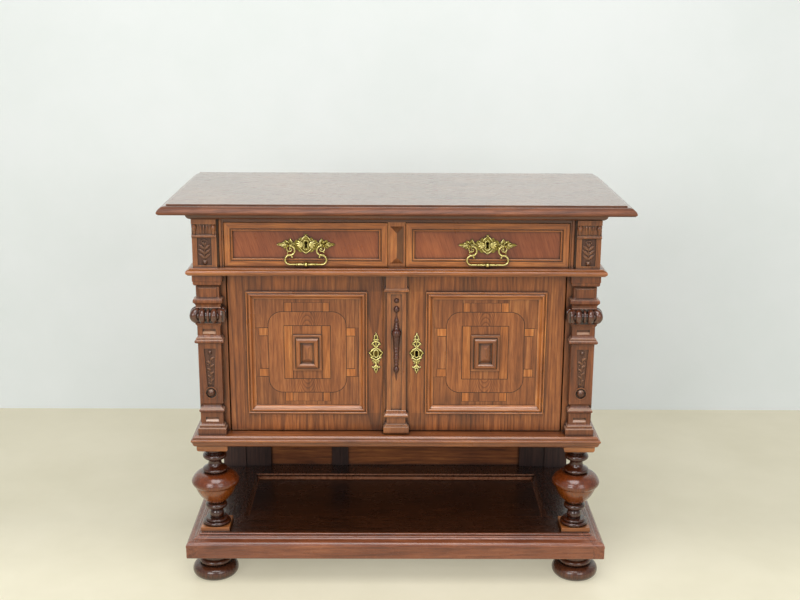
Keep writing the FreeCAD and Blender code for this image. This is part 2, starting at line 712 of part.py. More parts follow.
def shaft_ring(level):
    """The raised disc that the well is sunk in, which leaves a ring."""
    return Part.makeCylinder(shaft_boss_radius + shaft_panel_depth + shaft_boss_ring,
                             shaft_boss_ring_proud + shaft_panel_depth,
                             Vector(pilaster_x, pilaster_y - shaft_boss_ring_proud, level), Vector(0, 1, 0))


def collar_space():
    """The room for the gadrooned collar round the pilaster's neck, clear of the opened door's moulding."""
    inner = stile_inner + pilaster_limit
    top = waist_bottom - collar_drop
    level = (top - collar_height, top)
    room = box((inner, width / 2), (nose_y, door_y), level)
    return room.cut(box((inner, swing_x), (nose_y, swing_y), level))


def gadroon_collar():
    """The right gadrooned collar: a half-round band with a bead and lobes bent round it."""
    half, top = pilaster_width / 2, waist_bottom - collar_drop
    middle = top - collar_height / 2
    profile = [(0.0, top - collar_height), (0.0, middle - collar_core),
               (collar_core, middle, 0.0, middle + collar_core), (0.0, top)]
    band = mitred(profile, half, pilaster_y, door_y, pilaster_x)
    side_y = pilaster_y + collar_side_pitch
    reach = collar_height / 2
    pieces = [bent_lobe(0.0, pilaster_y, 0, middle, reach - collar_bead_sink, collar_bead_radius)]
    for side in (-1, 1):
        pieces += [bent_lobe(side * collar_pitch, pilaster_y, 0, middle, reach, collar_lobe_radius),
                   bent_lobe(side * half, pilaster_y, side * 45, middle, reach, collar_corner_radius),
                   bent_lobe(side * half, side_y, 90, middle, reach, collar_lobe_radius)]
    return fuse([band] + pieces).common(collar_space())


def bent_lobe(offset, y, turn, level, reach, radius):
    """One lobe as a ring sunk halfway in the neck; the turn is of its flat from facing along X."""
    angle = math.radians(turn)
    return Part.makeTorus(reach - radius, radius, Vector(pilaster_x + offset, y, level),
                          Vector(math.cos(angle), math.sin(angle), 0))


def ball_support():
    profile = scaled(column_shape, support_radius, column_top - column_bottom, column_bottom)
    return turned(profile, support_x, support_y)


def support_blocks():
    """The moulded square caps and the plinths of the two ball supports."""
    half = support_cap_width / 2
    profile = scaled(cap_shape, support_cap_round, support_cap_height, column_top)
    front = mitred(profile, half, -half, 0.0, support_x)
    cap = fuse([front, front.mirror(Vector(0, 0, 0), Vector(0, 1, 0))])
    cap.translate(Vector(0, support_y, 0))
    half = support_plinth_width / 2
    plinth = box((support_x - half, support_x + half), (support_y - half, support_y + half),
                 (base_top, column_bottom))
    return Part.makeCompound([cap, plinth, flip(cap), flip(plinth)])


def stand_back_frame():
    """The stand's rear posts, the stiles beside them and the notched lath in front of the panel."""
    level = (base_top, ledge_bottom)
    post_inner = rear_post_outer - rear_post_width
    pieces = []
    for side in (-1, 1):
        pieces.append(box((side * post_inner, side * rear_post_outer),
                          (back_y - rear_post_thickness, back_y), level))
        pieces.append(box((side * (post_inner - rear_stile_width), side * post_inner),
                          (back_y - rear_stile_thickness, back_y), level))
    front = stand_panel_y - lath_thickness
    lath = box((lath_x - lath_width / 2, lath_x + lath_width / 2), (front, stand_panel_y), level)
    notch = [Vector(lath_x + share * lath_notch_width / 2, front, z)
             for share, z in ((-1, ledge_bottom), (1, ledge_bottom), (0, base_top + lath_notch_bottom))]
    notch = Part.Face(Part.makePolygon(notch + notch[:1])).extrude(Vector(0, lath_thickness, 0))
    return Part.makeCompound(pieces + [lath.cut(notch)])


def stand_back_panel():
    half = rear_post_outer - rear_post_width - rear_stile_width
    return box((-half, half), (stand_panel_y, back_y), (base_top, ledge_bottom))


def tray_rectangle(grow, z):
    """The tray's outline at one level, grown on all sides, as corners from the front left."""
    x = base_half - tray_side_width + grow
    front = base_front + tray_front_width - grow
    back = back_y - tray_back_width + grow
    return [Vector(-x, front, z), Vector(x, front, z), Vector(x, back, z), Vector(-x, back, z)]


def tray_block(grow, low, high):
    corners = tray_rectangle(grow, low)
    return Part.Face(Part.makePolygon(corners + corners[:1])).extrude(Vector(0, 0, high - low))


def base_rail(moulded, rail_width, place, along, mitre):
    """One rail of the base from its section, inset from its outer face, cut to its mitre in plan."""
    floor = base_top - tray_recess
    section = [(0.0, base_bottom), (0.0, base_top)]
    if moulded:
        section = scaled([tuple(1.0 - value if index % 2 == 0 else value for index, value in enumerate(step))
                          for step in base_shape], base_reach, base_height, base_bottom)
    edge, tongue = rail_width - tray_edge, rail_width - panel_tongue
    section += [(edge, base_top), (edge, base_top - tray_step), (rail_width, floor), (tongue, floor),
                (tongue, base_bottom)]
    bar = face_of(trace(section + section[:1], place)).extrude(along)
    return bar.common(Part.Face(Part.makePolygon(mitre + mitre[:1])).extrude(Vector(0, 0, base_height)))


def base_frame():
    """The base's four rails, mitred at the corners, with a moulded edge round the tray."""
    tray = tray_rectangle(0.0, base_bottom)
    outer = [Vector(sx * base_half, y, base_bottom)
             for sx, y in ((-1, base_front), (1, base_front), (1, back_y), (-1, back_y))]
    near = [a - (b - a) * mitre_overrun for a, b in zip(tray, outer)]
    far = [b + (b - a) * mitre_overrun for a, b in zip(tray, outer)]
    start = base_half * (1 + mitre_overrun)
    front = base_rail(True, tray_front_width, lambda inset, z: Vector(-start, base_front + inset, z),
                      Vector(2 * start, 0, 0), [far[0], far[1], near[1], near[0]])
    back = base_rail(False, tray_back_width, lambda inset, z: Vector(-start, back_y - inset, z),
                     Vector(2 * start, 0, 0), [far[2], far[3], near[3], near[2]])
    right = base_rail(True, tray_side_width, lambda inset, z: Vector(base_half - inset, -start, z),
                      Vector(0, 2 * start, 0), [far[1], far[2], near[2], near[1]])
    return Part.makeCompound([front, back, right, flip(right)])


def base_panel():
    floor = base_top - tray_recess
    return tray_block(panel_tongue, floor - tray_panel_thickness, floor)


def bun_feet():
    profile = scaled(foot_shape, foot_radius, foot_height)
    rows = (base_front + foot_inset, back_y - foot_inset)
    return Part.makeCompound([turned(profile, side * foot_x, y) for y in rows for side in (-1, 1)])


def drawer_front(side):
    return box((side * drawer_inner, side * drawer_outer), (drawer_panel_y, drawer_front_back),
               (drawer_bottom, drawer_top))


def drawer_moulding(side):
    profile = scaled(drawer_moulding_shape, drawer_moulding_width, drawer_moulding_proud)
    return ring(profile, (drawer_outer - drawer_inner) / 2, (drawer_top - drawer_bottom) / 2,
                (side * drawer_centre_x, pull_z), drawer_panel_y)


def drawer_box(side):
    """A drawer's two sides, back board and bottom, behind its front."""
    inner, outer = drawer_inner + drawer_box_inset, drawer_outer - drawer_box_inset
    back = back_front_y - drawer_back_gap
    run = (drawer_front_back, back)
    level = (drawer_bottom, drawer_bottom + drawer_side_height)
    pieces = [box((side * inner, side * (inner + drawer_side_thickness)), run, level),
              box((side * (outer - drawer_side_thickness), side * outer), run, level)]
    between = (side * (inner + drawer_side_thickness), side * (outer - drawer_side_thickness))
    bottom = drawer_bottom + drawer_bottom_lift
    pieces.append(box(between, run, (bottom, bottom + drawer_bottom_thickness)))
    pieces.append(box(between, (back - drawer_side_thickness, back),
                      (bottom + drawer_bottom_thickness, level[1])))
    return Part.makeCompound(pieces)


def keyhole(x, z, face, thickness):
    """The keyhole through a brass plate: a round eye over a slot."""
    eye = Part.makeCylinder(keyhole_radius, thickness, Vector(x, face - thickness, z), Vector(0, 1, 0))
    half = keyhole_slot / 2
    slot = box((x - half, x + half), (face - thickness, face), (z - keyhole_length, z))
    return eye.fuse(slot)


def pull_plate(side):
    """A drawer's brass plate with its keyhole and the two ball posts that carry the bail."""
    x = side * drawer_centre_x
    pieces = [plate(pull_outline, pull_half_length, pull_half_height, (x, pull_z), drawer_panel_y,
                    pull_thickness)]
    holes = [keyhole(x, pull_z + keyhole_radius, drawer_panel_y, pull_thickness)]
    for end in (-1, 1):
        post_x = x + end * (bail_half_span + post_offset)
        length = bail_standoff - pull_thickness
        ball = Vector(post_x, hinge_y, pull_z)
        pieces.append(Part.makeCylinder(post_stem_radius, length, ball, Vector(0, 1, 0)))
        pieces.append(Part.makeSphere(post_radius, ball))
        holes.append(Part.makeCylinder(pivot_pin_radius + running_clearance, 4 * post_radius,
                                       Vector(post_x - 2 * post_radius, hinge_y, pull_z), Vector(1, 0, 0)))
    body = fuse(pieces)
    for hole in holes:
        body = body.cut(hole)
    return body


def pull_bail(side):
    """A hanging bail: scrolled ends on two pins, and a turned bar with a knob."""
    wire = Part.makeCircle(bail_wire_radius, Vector(bail_half_span, 0, 0), Vector(1, 0, 0))
    upper = Part.Face(Part.Wire(wire))
    lower = upper.copy()
    lower.translate(Vector(0, 0, -2 * bail_upper_radius))
    axis = Vector(0, 1, 0)
    drop = 2 * (bail_upper_radius + bail_lower_radius)
    upper = upper.revolve(Vector(bail_half_span, 0, -bail_upper_radius), axis, -180)
    lower = lower.revolve(Vector(bail_half_span, 0, bail_lower_radius - drop), axis, 180)
    bar = turned(scaled(bail_bar_shape, bail_knob_radius, bail_half_span), 0, 0)
    bar.rotate(Vector(0, 0, 0), axis, 90)
    bar.translate(Vector(0, 0, -drop))
    pin = Part.makeCylinder(pivot_pin_radius, post_offset + post_radius, Vector(bail_half_span, 0, 0),
                            Vector(1, 0, 0))
    half = [upper, lower, bar, pin]
    bail = fuse(half + [flip(piece) for piece in half])
    bail.translate(Vector(side * drawer_centre_x, hinge_y, pull_z))
    return bail


def lock_and_bolt():
    """A lock case and its bolt, drawn upright with the lock's outer face at Z = 0 and its back at Y = 0."""
    case = box((-lock_width / 2, lock_width / 2), (0, lock_thickness), (-lock_height, 0))
    middle = lock_thickness / 2
    half, thick = bolt_width / 2, bolt_thickness / 2
    bolt = box((-half, half), (middle - thick, middle + thick), (-lock_margin - bolt_length, -lock_margin))
    room = bolt_clearance
    slot = box((-half - room, half + room), (middle - thick - room, middle + thick + room),
               (-lock_margin - bolt_length - room, 0))
    return case.cut(slot), bolt


def placed(shape, turn, position):
    """A copy turned about Y and moved."""
    shape = shape.copy()
    shape.rotate(Vector(0, 0, 0), Vector(0, 1, 0), turn)
    shape.translate(position)
    return shape


def door_span(side):
    """A door's inner and outer X."""
    return meeting_x + side * meeting_gap / 2, side * door_outer


def door_lock_place():
    return Vector(door_span(1)[0], door_y + (door_thickness - lock_thickness) / 2, field_centre_z)


def field_space(grow, y_span):
    """A block as large as a door's panel field, grown on all sides, for the right door."""
    half_width = moulding_outer_width / 2 - moulding_lap + grow
    half_height = moulding_outer_height / 2 - moulding_lap + grow
    return box((field_centre_x - half_width, field_centre_x + half_width), y_span,
               (field_centre_z - half_height, field_centre_z + half_height))


def door_frame(side):
    """A door's frame, with its panel's rebate, its pivots' housings and its lock's pocket or mortise."""
    frame = box(door_span(side), (door_y, door_y + door_thickness), (door_bottom, door_top))
    corner = Vector(side * door_outer, door_y, field_centre_z)
    outer = [edge for edge in frame.Edges if edge.CenterOfMass.isEqual(corner, touching)]
    frame = frame.makeFillet(door_edge_round, outer)
    holes = [field_space(0.0, (door_y, door_y + door_thickness)),
             field_space(panel_tongue, (door_y + door_panel_recess, door_y + door_thickness))]
    for hole in holes:
        frame = frame.cut(hole if side > 0 else flip(hole))
    for level, rise in ((door_bottom, pivot_plate_thickness), (door_top, -pivot_plate_thickness)):
        frame = frame.cut(pivot_plate(side, level, rise))
    case = box((-lock_width / 2, lock_width / 2), (0, lock_thickness), (-lock_height, 0))
    pocket = placed(case, -90, door_lock_place())
    if side < 0:
        room = bolt_clearance
        reach = bolt_travel - lock_margin - meeting_gap + room
        middle = door_y + door_thickness / 2
        edge = door_span(-1)[0]
        thick, half = bolt_thickness / 2 + room, bolt_width / 2 + room
        pocket = box((edge - reach, edge), (middle - thick, middle + thick),
                     (field_centre_z - half, field_centre_z + half))
    return frame.cut(pocket)


def door_panel(side):
    front = door_y + door_panel_recess
    panel = field_space(panel_tongue, (front, front + door_panel_thickness))
    return panel if side > 0 else flip(panel)


def door_moulding(side):
    """The mitred moulding that laps the door's frame and rests on its panel."""
    profile = scaled(door_moulding_shape, moulding_width, moulding_proud)
    profile += [(moulding_width, -door_panel_recess), (moulding_lap, -door_panel_recess), (moulding_lap, 0.0)]
    return ring(profile, moulding_outer_width / 2, moulding_outer_height / 2,
                (side * field_centre_x, field_centre_z), door_y)


def door_boss(side):
    """The raised block in the middle of a door's panel: a moulded border round a hipped diamond."""
    centre = (side * field_centre_x, field_centre_z)
    face = door_y + door_panel_recess
    profile = scaled(boss_border_shape, door_boss_border, door_boss_proud)
    border = ring(profile, door_boss_width / 2, door_boss_height / 2, centre, face)
    floor = profile[-2][-1]
    half = door_boss_width / 2 - door_boss_border
    half_height = door_boss_height / 2 - door_boss_border
    ground = box((centre[0] - half, centre[0] + half), (face - floor, face),
                 (centre[1] - half_height, centre[1] + half_height))
    margin = door_boss_hip_margin
    diamond = hip(centre, half - margin, half_height - margin, face - floor, door_boss_hip_rise)
    return fuse([border, ground, diamond])


def escutcheon(side):
    """A door's brass escutcheon; only the right one is pierced for a key."""
    centre = (side * escutcheon_x, field_centre_z)
    body = plate(escutcheon_outline, escutcheon_half_width, escutcheon_half_height, centre, door_y,
                 escutcheon_thickness)
    if side > 0:
        body = body.cut(keyhole(*centre, door_y, escutcheon_thickness))
    return body


def door_pivots(side):
    """A door's two pivot plates with their pins."""
    length = pivot_plate_thickness + door_gap + pivot_depth
    pivots = []
    for level, rise in ((door_bottom, pivot_plate_thickness), (door_top, -pivot_plate_thickness)):
        start = level + rise
        pin = Part.makeCylinder(pivot_radius, length, Vector(side * pivot_x, pivot_y, start),
                                Vector(0, 0, -math.copysign(1, rise)))
        pivots.append(fuse([pivot_plate(side, level, rise), pin]))
    return Part.makeCompound(pivots)


def centre_pilaster():
    """The pilaster that covers the meeting of the doors, with its sunk panel."""
    front = door_y - centre_pilaster_proud
    profile = scaled(centre_foot, centre_reach, centre_foot_height, ledge_top)
    profile += scaled(centre_head, centre_reach, centre_head_height, waist_bottom)
    body = mitred(profile, centre_pilaster_width / 2, front, door_y)
    half = centre_panel_width / 2
    return body.cut(box((-half, half), (front, front + centre_panel_depth),
                        (ledge_top + centre_panel_bottom, waist_bottom - centre_panel_top)))


def centre_baluster():
    """The split-turned spindle and the button above it, in the centre pilaster's panel."""
    floor = door_y - centre_pilaster_proud + centre_panel_depth
    top = waist_bottom - baluster_top
    front_half = box((-width, width), (nose_y, floor), (ledge_top, waist_bottom))
    profile = scaled(baluster_shape, baluster_radius, baluster_length, top - baluster_length)
    spindle = turned(profile, 0, floor)
    button = Part.makeSphere(baluster_button_radius, Vector(0, floor, top + baluster_button_lift))
    return Part.makeCompound([spindle.common(front_half), button.common(front_half)])


def build():
    """Every piece of the cabinet by name."""
    nodes = {
        "top_board": top_board(),
        "bed_moulding": bed_moulding(),
        "top_rail": top_rail(),
        "drawer_divider": drawer_divider(),
        "waist_moulding": waist_moulding(),
        "dust_board": dust_board(),
        "drawer_guides": drawer_guides(),
        "front_stiles": front_stiles(),
        "side_panels": Part.makeCompound([side_panel(), flip(side_panel())]),
        "back_panel": back_panel(),
        "inner_shelf": inner_shelf(),
        "ledge_board": ledge_board(),
        "pivot_sockets": pivot_sockets(),
        "support_blocks": support_blocks(),
        "stand_back_frame": stand_back_frame(),
        "stand_back_panel": stand_back_panel(),
        "base_frame": base_frame(),
        "base_panel": base_panel(),
        "bun_feet": bun_feet(),
        "centre_pilaster": centre_pilaster(),
        "centre_baluster": centre_baluster(),
    }
    for maker in (frieze_block, pilaster, gadroon_collar, side_frame, ball_support):
        right = maker()
        nodes[maker.__name__ + "_right"] = right
        nodes[maker.__name__ + "_left"] = flip(right)
    paired = (drawer_front, drawer_moulding, drawer_box, pull_plate, pull_bail,
              door_frame, door_panel, door_moulding, door_boss, escutcheon, door_pivots)
    case, bolt = lock_and_bolt()
    for side, name in ((-1, "left"), (1, "right")):
        for maker in paired:
            nodes[f"{maker.__name__}_{name}"] = maker(side)
        position = Vector(side * drawer_centre_x, drawer_front_back, drawer_top)
        nodes[f"drawer_lock_{name}"] = placed(case, 0, position)
        nodes[f"drawer_bolt_{name}"] = placed(bolt, 0, position)
    nodes["door_lock"] = placed(case, -90, door_lock_place())
    nodes["door_bolt"] = placed(bolt, -90, door_lock_place())
    return nodes


def main():
    os.makedirs("parts", exist_ok=True)
    for name, shape in build().items():
        shape.exportStep(f"parts/{name}.step")
        print(name, len(shape.Solids), shape.isValid(), round(shape.Volume))


main()
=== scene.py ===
"""Looks for the parlour cabinet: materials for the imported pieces, inlay, carving and brass relief."""
import json
import math

import bmesh
import bpy
from mathutils import Matrix, Vector


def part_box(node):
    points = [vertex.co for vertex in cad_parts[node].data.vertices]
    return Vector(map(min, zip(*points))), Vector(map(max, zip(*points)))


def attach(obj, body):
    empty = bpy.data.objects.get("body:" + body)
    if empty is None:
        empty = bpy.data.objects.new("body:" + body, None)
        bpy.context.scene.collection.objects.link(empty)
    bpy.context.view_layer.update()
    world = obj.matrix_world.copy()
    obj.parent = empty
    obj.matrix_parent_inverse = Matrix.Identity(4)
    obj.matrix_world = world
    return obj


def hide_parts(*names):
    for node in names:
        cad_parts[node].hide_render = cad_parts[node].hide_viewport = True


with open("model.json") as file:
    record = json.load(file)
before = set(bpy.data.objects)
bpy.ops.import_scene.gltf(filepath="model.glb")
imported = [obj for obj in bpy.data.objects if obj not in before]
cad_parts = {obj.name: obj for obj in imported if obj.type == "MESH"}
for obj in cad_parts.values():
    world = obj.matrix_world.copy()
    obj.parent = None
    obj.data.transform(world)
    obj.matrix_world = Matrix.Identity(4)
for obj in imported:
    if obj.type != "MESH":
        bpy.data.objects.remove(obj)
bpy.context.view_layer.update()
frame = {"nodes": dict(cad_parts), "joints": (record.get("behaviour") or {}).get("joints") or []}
nodes = frame["nodes"]
MM = 0.001
SIDES = ((-1, "left"), (1, "right"))


def srgb(red, green, blue):
    """A colour given as 0 to 255, for a shader's socket."""
    def linear(value):
        value /= 255
        return value / 12.92 if value <= 0.04045 else ((value + 0.055) / 1.055) ** 2.4
    return (linear(red), linear(green), linear(blue), 1.0)


class Graph:
    """A material and short ways to add nodes to it."""

    def __init__(self, name):
        self.material = bpy.data.materials.new(name)
        self.material.use_nodes = True
        self.tree = self.material.node_tree
        self.shader = self.tree.nodes["Principled BSDF"]

    def add(self, kind, inputs=None, **settings):
        node = self.tree.nodes.new("ShaderNode" + kind)
        for key, value in settings.items():
            setattr(node, key, value)
        for key, value in (inputs or {}).items():
            self.put(node.inputs[key], value)
        return node

    def put(self, socket, value):
        if isinstance(value, bpy.types.NodeSocket):
            self.tree.links.new(value, socket)
        else:
            socket.default_value = value

    def math(self, operation, a, b=0.0):
        return self.add("Math", {0: a, 1: b}, operation=operation).outputs[0]

    def vector(self, operation, a, b):
        return self.add("VectorMath", {0: a, 1: b}, operation=operation).outputs[0]

    def parts(self, vector):
        """A vector's X, Y and Z."""
        split = self.add("SeparateXYZ", {0: vector})
        return [split.outputs[axis] for axis in "XYZ"]

    def noise(self, vector, scale, detail, rough):
        inputs = {"Vector": vector, "Scale": scale, "Detail": detail, "Roughness": rough}
        return self.add("TexNoise", inputs).outputs["Fac"]

    def steps(self, value, stops):
        """A smooth step between (place, colour or grey) stops."""
        ramp = self.add("ValToRGB", {0: value})
        points = ramp.color_ramp.elements
        while len(points) < len(stops):
            points.new(0.5)
        for point, (place, colour) in zip(points, stops):
            point.position = place
            point.color = colour if isinstance(colour, tuple) else (colour, colour, colour, 1.0)
        return ramp.outputs["Color"]

    def blend(self, factor, a, b, mode="MIX"):
        mix = self.add("Mix", data_type="RGBA", blend_type=mode)
        for place, value in ((0, factor), (6, a), (7, b)):
            self.put(mix.inputs[place], value)
        return mix.outputs[2]

    def choose(self, factor, a, b):
        """One of two vectors."""
        mix = self.add("Mix", data_type="VECTOR")
        for place, value in ((0, factor), (4, a), (5, b)):
            self.put(mix.inputs[place], value)
        return mix.outputs[1]

    def crevice(self, distance, samples=6, inside=False):
        """Near 0 in corners and recesses, or with inside on sharp edges, and 1 in the open."""
        shade = self.add("AmbientOcclusion", {"Distance": distance}, samples=samples, inside=inside)
        return shade.outputs["AO"]


# The grain's scale along a board, against 1 across it
ALONG = 0.06
STRETCH = {"X": (ALONG, 1, 1), "Y": (1, ALONG, 1), "Z": (1, 1, ALONG)}
# Darkness across one growth ring
RING = [(0.0, 1.0), (0.25, 0.3), (0.7, 0.0), (0.94, 0.2), (1.0, 1.0)]
# Tints that multiply a timber's colour: the two ends of its cloud, and where hands reach or don't
REDDER = (0.8, 0.74, 0.76, 1.0)
YELLOWER = (1.22, 1.2, 1.08, 1.0)
HANDLED = (0.74, 0.7, 0.78, 1.0)
CLEAN = (1.16, 1.14, 1.0, 1.0)
# A dark colour for dirt, seams and plugs, and for painted shade in corners and recesses
DIRT_AND_SHADE = srgb(32, 15, 8)
# A pale colour for the painted sheen on ledges that face up
PAINTED_SHEEN_TONE = srgb(210, 176, 152)
# How far wear and painted highlight reach from an edge, dirt and painted shade from a corner, a wider painted
# shadow from a recess, and tarnish into the relief
WEAR_AND_HIGHLIGHT_REACH = 3.0 * MM
DIRT_AND_SHADE_REACH = 9.0 * MM
SHADOW_REACH = 35.0 * MM
TARNISH_REACH = 5.0 * MM
COAT_ROUGHNESS = 0.14


def grain_vector(graph, place, grain):
    """Coordinates drawn out along the grain: one axis, or a mitred frame's or a wrapped moulding's."""
    if isinstance(grain, str):
        return graph.vector("MULTIPLY", place, STRETCH[grain])
    kind, first, second = grain
    x, y, z = graph.parts(place)
    if kind == "frame":
        centre, half = first, second
        across = graph.math("SUBTRACT", graph.math("ABSOLUTE", x), abs(centre[0]))
        across = graph.math("SUBTRACT", graph.math("ABSOLUTE", across), half[0])
        upright = graph.math("SUBTRACT", z, centre[1])
        upright = graph.math("SUBTRACT", graph.math("ABSOLUTE", upright), half[1])
        level = graph.math("GREATER_THAN", upright, across)
        other = "Z"
    else:
        ends = graph.math("SUBTRACT", graph.math("ABSOLUTE", x), first)
        front = graph.math("SUBTRACT", second, y)
        level = graph.math("GREATER_THAN", front, ends)
        other = "Y"
    return graph.choose(level, graph.vector("MULTIPLY", place, STRETCH[other]),
                        graph.vector("MULTIPLY", place, STRETCH["X"]))


class Wood(Graph):
    """Oiled and polished timber: streaks, growth rings, pores, dirt and painted shade in the corners, and
    worn edges with painted highlight.
    """

    def __init__(self, name, tones, grain, seed, figure=0.3, tiles=False, slant=0.0, arches=None,
                 contrast=1.0):
        super().__init__(name)
        self.tones = tones
        self.place = self.add("TexCoord").outputs["Object"]
        turned = self.place
        if slant:
            turned = self.add("VectorRotate", {"Vector": self.place, "Angle": math.radians(slant)},
                              rotation_type="Y_AXIS").outputs[0]
        drawn = self.vector("ADD", grain_vector(self, turned, grain), (seed * 1.37, seed * 0.73, seed * 2.11))
        if tiles:
            mark = self.add("Attribute", attribute_name="tile").outputs["Fac"]
            drawn = self.vector("ADD", drawn, self.vector("MULTIPLY", mark, (3.1, 5.3, 1.7)))
        self.drawn = drawn
        broad = self.noise(drawn, 10.0, 2.0, 0.5)
        contour = self.math("MULTIPLY", self.noise(drawn, 7.0, 1.0, 0.4), 26.0)
        if arches:
            contour = self.arched(contour, *arches)
        rings = self.steps(self.math("FRACT", contour), RING)
        self.streaks = self.noise(drawn, 150.0, 4.0, 0.7)
        self.pores = self.steps(self.noise(drawn, 480.0, 2.0, 0.5), [(0.5, 0.0), (0.66, 1.0)])
        tone = self.math("ADD", self.math("MULTIPLY", broad, 0.4 * contrast), 0.53 - 0.2 * contrast)
        streaks = self.math("SUBTRACT", self.streaks, 0.5)
        tone = self.math("ADD", tone, self.math("MULTIPLY", streaks, 0.9 * contrast))
        self.tone = self.math("SUBTRACT", tone, self.math("MULTIPLY", rings, figure * 0.6))
        colour = self.blend(self.math("MULTIPLY", self.pores, 0.4), self.stain(tones), tones[0])
        cloud = self.steps(self.noise(self.place, 6.0, 3.0, 0.6), [(0.3, REDDER), (0.7, YELLOWER)])
        self.colour = self.blend(1.0, colour, cloud, "MULTIPLY")
        if tiles:
            self.times(self.add("Attribute", attribute_name="shade").outputs["Fac"])

    def at(self, axis):
        """The place along one axis."""
        return self.parts(self.place)["XYZ".index(axis)]

    def away(self, a, b):
        """The distance that two offsets at right angles make."""
        return self.math("SQRT", self.math("ADD", self.math("MULTIPLY", a, a), self.math("MULTIPLY", b, b)))

    def chance(self, number):
        """A random value for each whole number."""
        return self.add("TexWhiteNoise", {"W": number}, noise_dimensions="1D").outputs["Value"]

    def arched(self, contour, centre, spacing):
        """Growth rings as tall nested arches about a centre, the same on both sides of the cabinet."""
        x, _, z = self.parts(self.place)
        across = self.math("SUBTRACT", self.math("ABSOLUTE", x), abs(centre[0]))
        upright = self.math("MULTIPLY", self.math("SUBTRACT", z, centre[1]), 0.26)
        rings = self.math("DIVIDE", self.away(across, upright), spacing)
        return self.math("ADD", rings, self.math("MULTIPLY", contour, 0.12))

    def stain(self, tones):
        """The grain in a dark, a middle and a light tone."""
        dark, mid, light = tones
        return self.steps(self.tone, [(0.18, dark), (0.5, mid), (0.82, light)])

    def times(self, tone, where=1.0):
        self.colour = self.blend(where, self.colour, tone, "MULTIPLY")

    def over(self, where, colour):
        self.colour = self.blend(where, self.colour, colour)

    def facing(self, axis):
        """A part of the direction that the surface faces."""
        return self.parts(self.add("NewGeometry").outputs["True Normal"])["XYZ".index(axis)]

    def inner(self, tones, half, front, margin):
        """Other tones further in than a margin from the ends and the front edge, but not on the back."""
        x, y, _ = self.parts(self.place)
        ends = self.math("SUBTRACT", half, self.math("ABSOLUTE", x))
        depth = self.math("MINIMUM", ends, self.math("SUBTRACT", y, front))
        inside = self.steps(self.math("DIVIDE", depth, margin), [(0.8, 0.0), (1.0, 1.0)])
        inside = self.math("MULTIPLY", inside, self.math("LESS_THAN", self.facing("Y"), 0.7))
        self.over(inside, self.stain(tones))

    def bands(self, low, high, stops):
        """Tones that change with height."""
        height = self.math("SUBTRACT", self.at("Z"), low)
        self.times(self.steps(self.math("DIVIDE", height, high - low), stops))

    def boards(self, axis, width):
        """Boards side by side along an axis, each in its own tone, with dark seams."""
        along = self.math("DIVIDE", self.at(axis), width)
        self.times(self.steps(self.chance(self.math("FLOOR", along)), [(0.0, 0.84), (1.0, 1.1)]))
        self.over(self.steps(self.math("PINGPONG", along, 0.5), [(0.006, 0.8), (0.014, 0.0)]), DIRT_AND_SHADE)

    def spots(self, axis, offset, level, radius, amount):
        """A dark round spot on each side, by its offset from the middle and its level on an axis."""
        across = self.math("SUBTRACT", self.math("ABSOLUTE", self.at("X")), offset)
        along = self.math("SUBTRACT", self.at(axis), level)
        share = self.math("DIVIDE", self.away(across, along), radius)
        self.over(self.steps(share, [(0.8, amount), (1.0, 0.0)]), DIRT_AND_SHADE)

    def facet_light(self, axis, low, high):
        """Painted light and shade on the slopes that face down an axis and up it."""
        lean = self.math("ADD", self.math("MULTIPLY", self.facing(axis), 0.5), 0.5)
        self.times(self.steps(lean, [(0.36, low), (0.44, 1.0), (0.56, 1.0), (0.64, high)]))

    def handled(self, centre, half):
        """Darker about the middle of a drawer's front, where hands reach."""
        x = self.math("ABSOLUTE", self.at("X"))
        share = self.math("DIVIDE", self.math("ABSOLUTE", self.math("SUBTRACT", x, centre)), half)
        cloud = self.math("MULTIPLY", self.math("SUBTRACT", self.noise(self.place, 16.0, 3.0, 0.6), 0.5), 0.8)
        self.times(self.steps(self.math("ADD", share, cloud), [(0.1, HANDLED), (0.75, CLEAN)]))

    def leaves(self, low, high, width):
        """Upright leaves of veneer that differ in tone, above and below two heights."""
        x, _, z = self.parts(self.place)
        column = self.math("FLOOR", self.math("DIVIDE", x, width))
        outside = self.math("MAXIMUM", self.math("GREATER_THAN", z, high), self.math("LESS_THAN", z, low))
        self.times(self.steps(self.chance(column), [(0.0, 0.74), (1.0, 1.2)]), outside)

    def specks(self, amount, scale=90.0, where=1.0):
        """Dark knocks and scuffs along the grain."""
        marks = self.steps(self.noise(self.drawn, scale, 4.0, 0.7), [(0.56, 0.0), (0.66, amount)])
        self.over(self.math("MULTIPLY", marks, where), self.tones[0])

    def finish(self, gloss=0.3, coat=0.6, dirt=0.9, edge=0.3, bump=0.22, patchy=0.2, bloom=0.0):
        """Painted sheen on ledges that face up, worn edges with painted highlight, dirt and painted shade in
        corners, polish and bump; gloss and coat may be sockets.
        """
        # Painted sheen: ledges that face up turn paler
        if bloom:
            self.over(self.steps(self.facing("Z"), [(0.4, 0.0), (0.85, bloom)]), PAINTED_SHEEN_TONE)
        # Worn edges, lightened also as painted highlight
        wear_and_highlight = self.steps(self.crevice(WEAR_AND_HIGHLIGHT_REACH, 4, True), [(0.35, edge), (0.8, 0.0)])
        self.over(wear_and_highlight, self.tones[2])
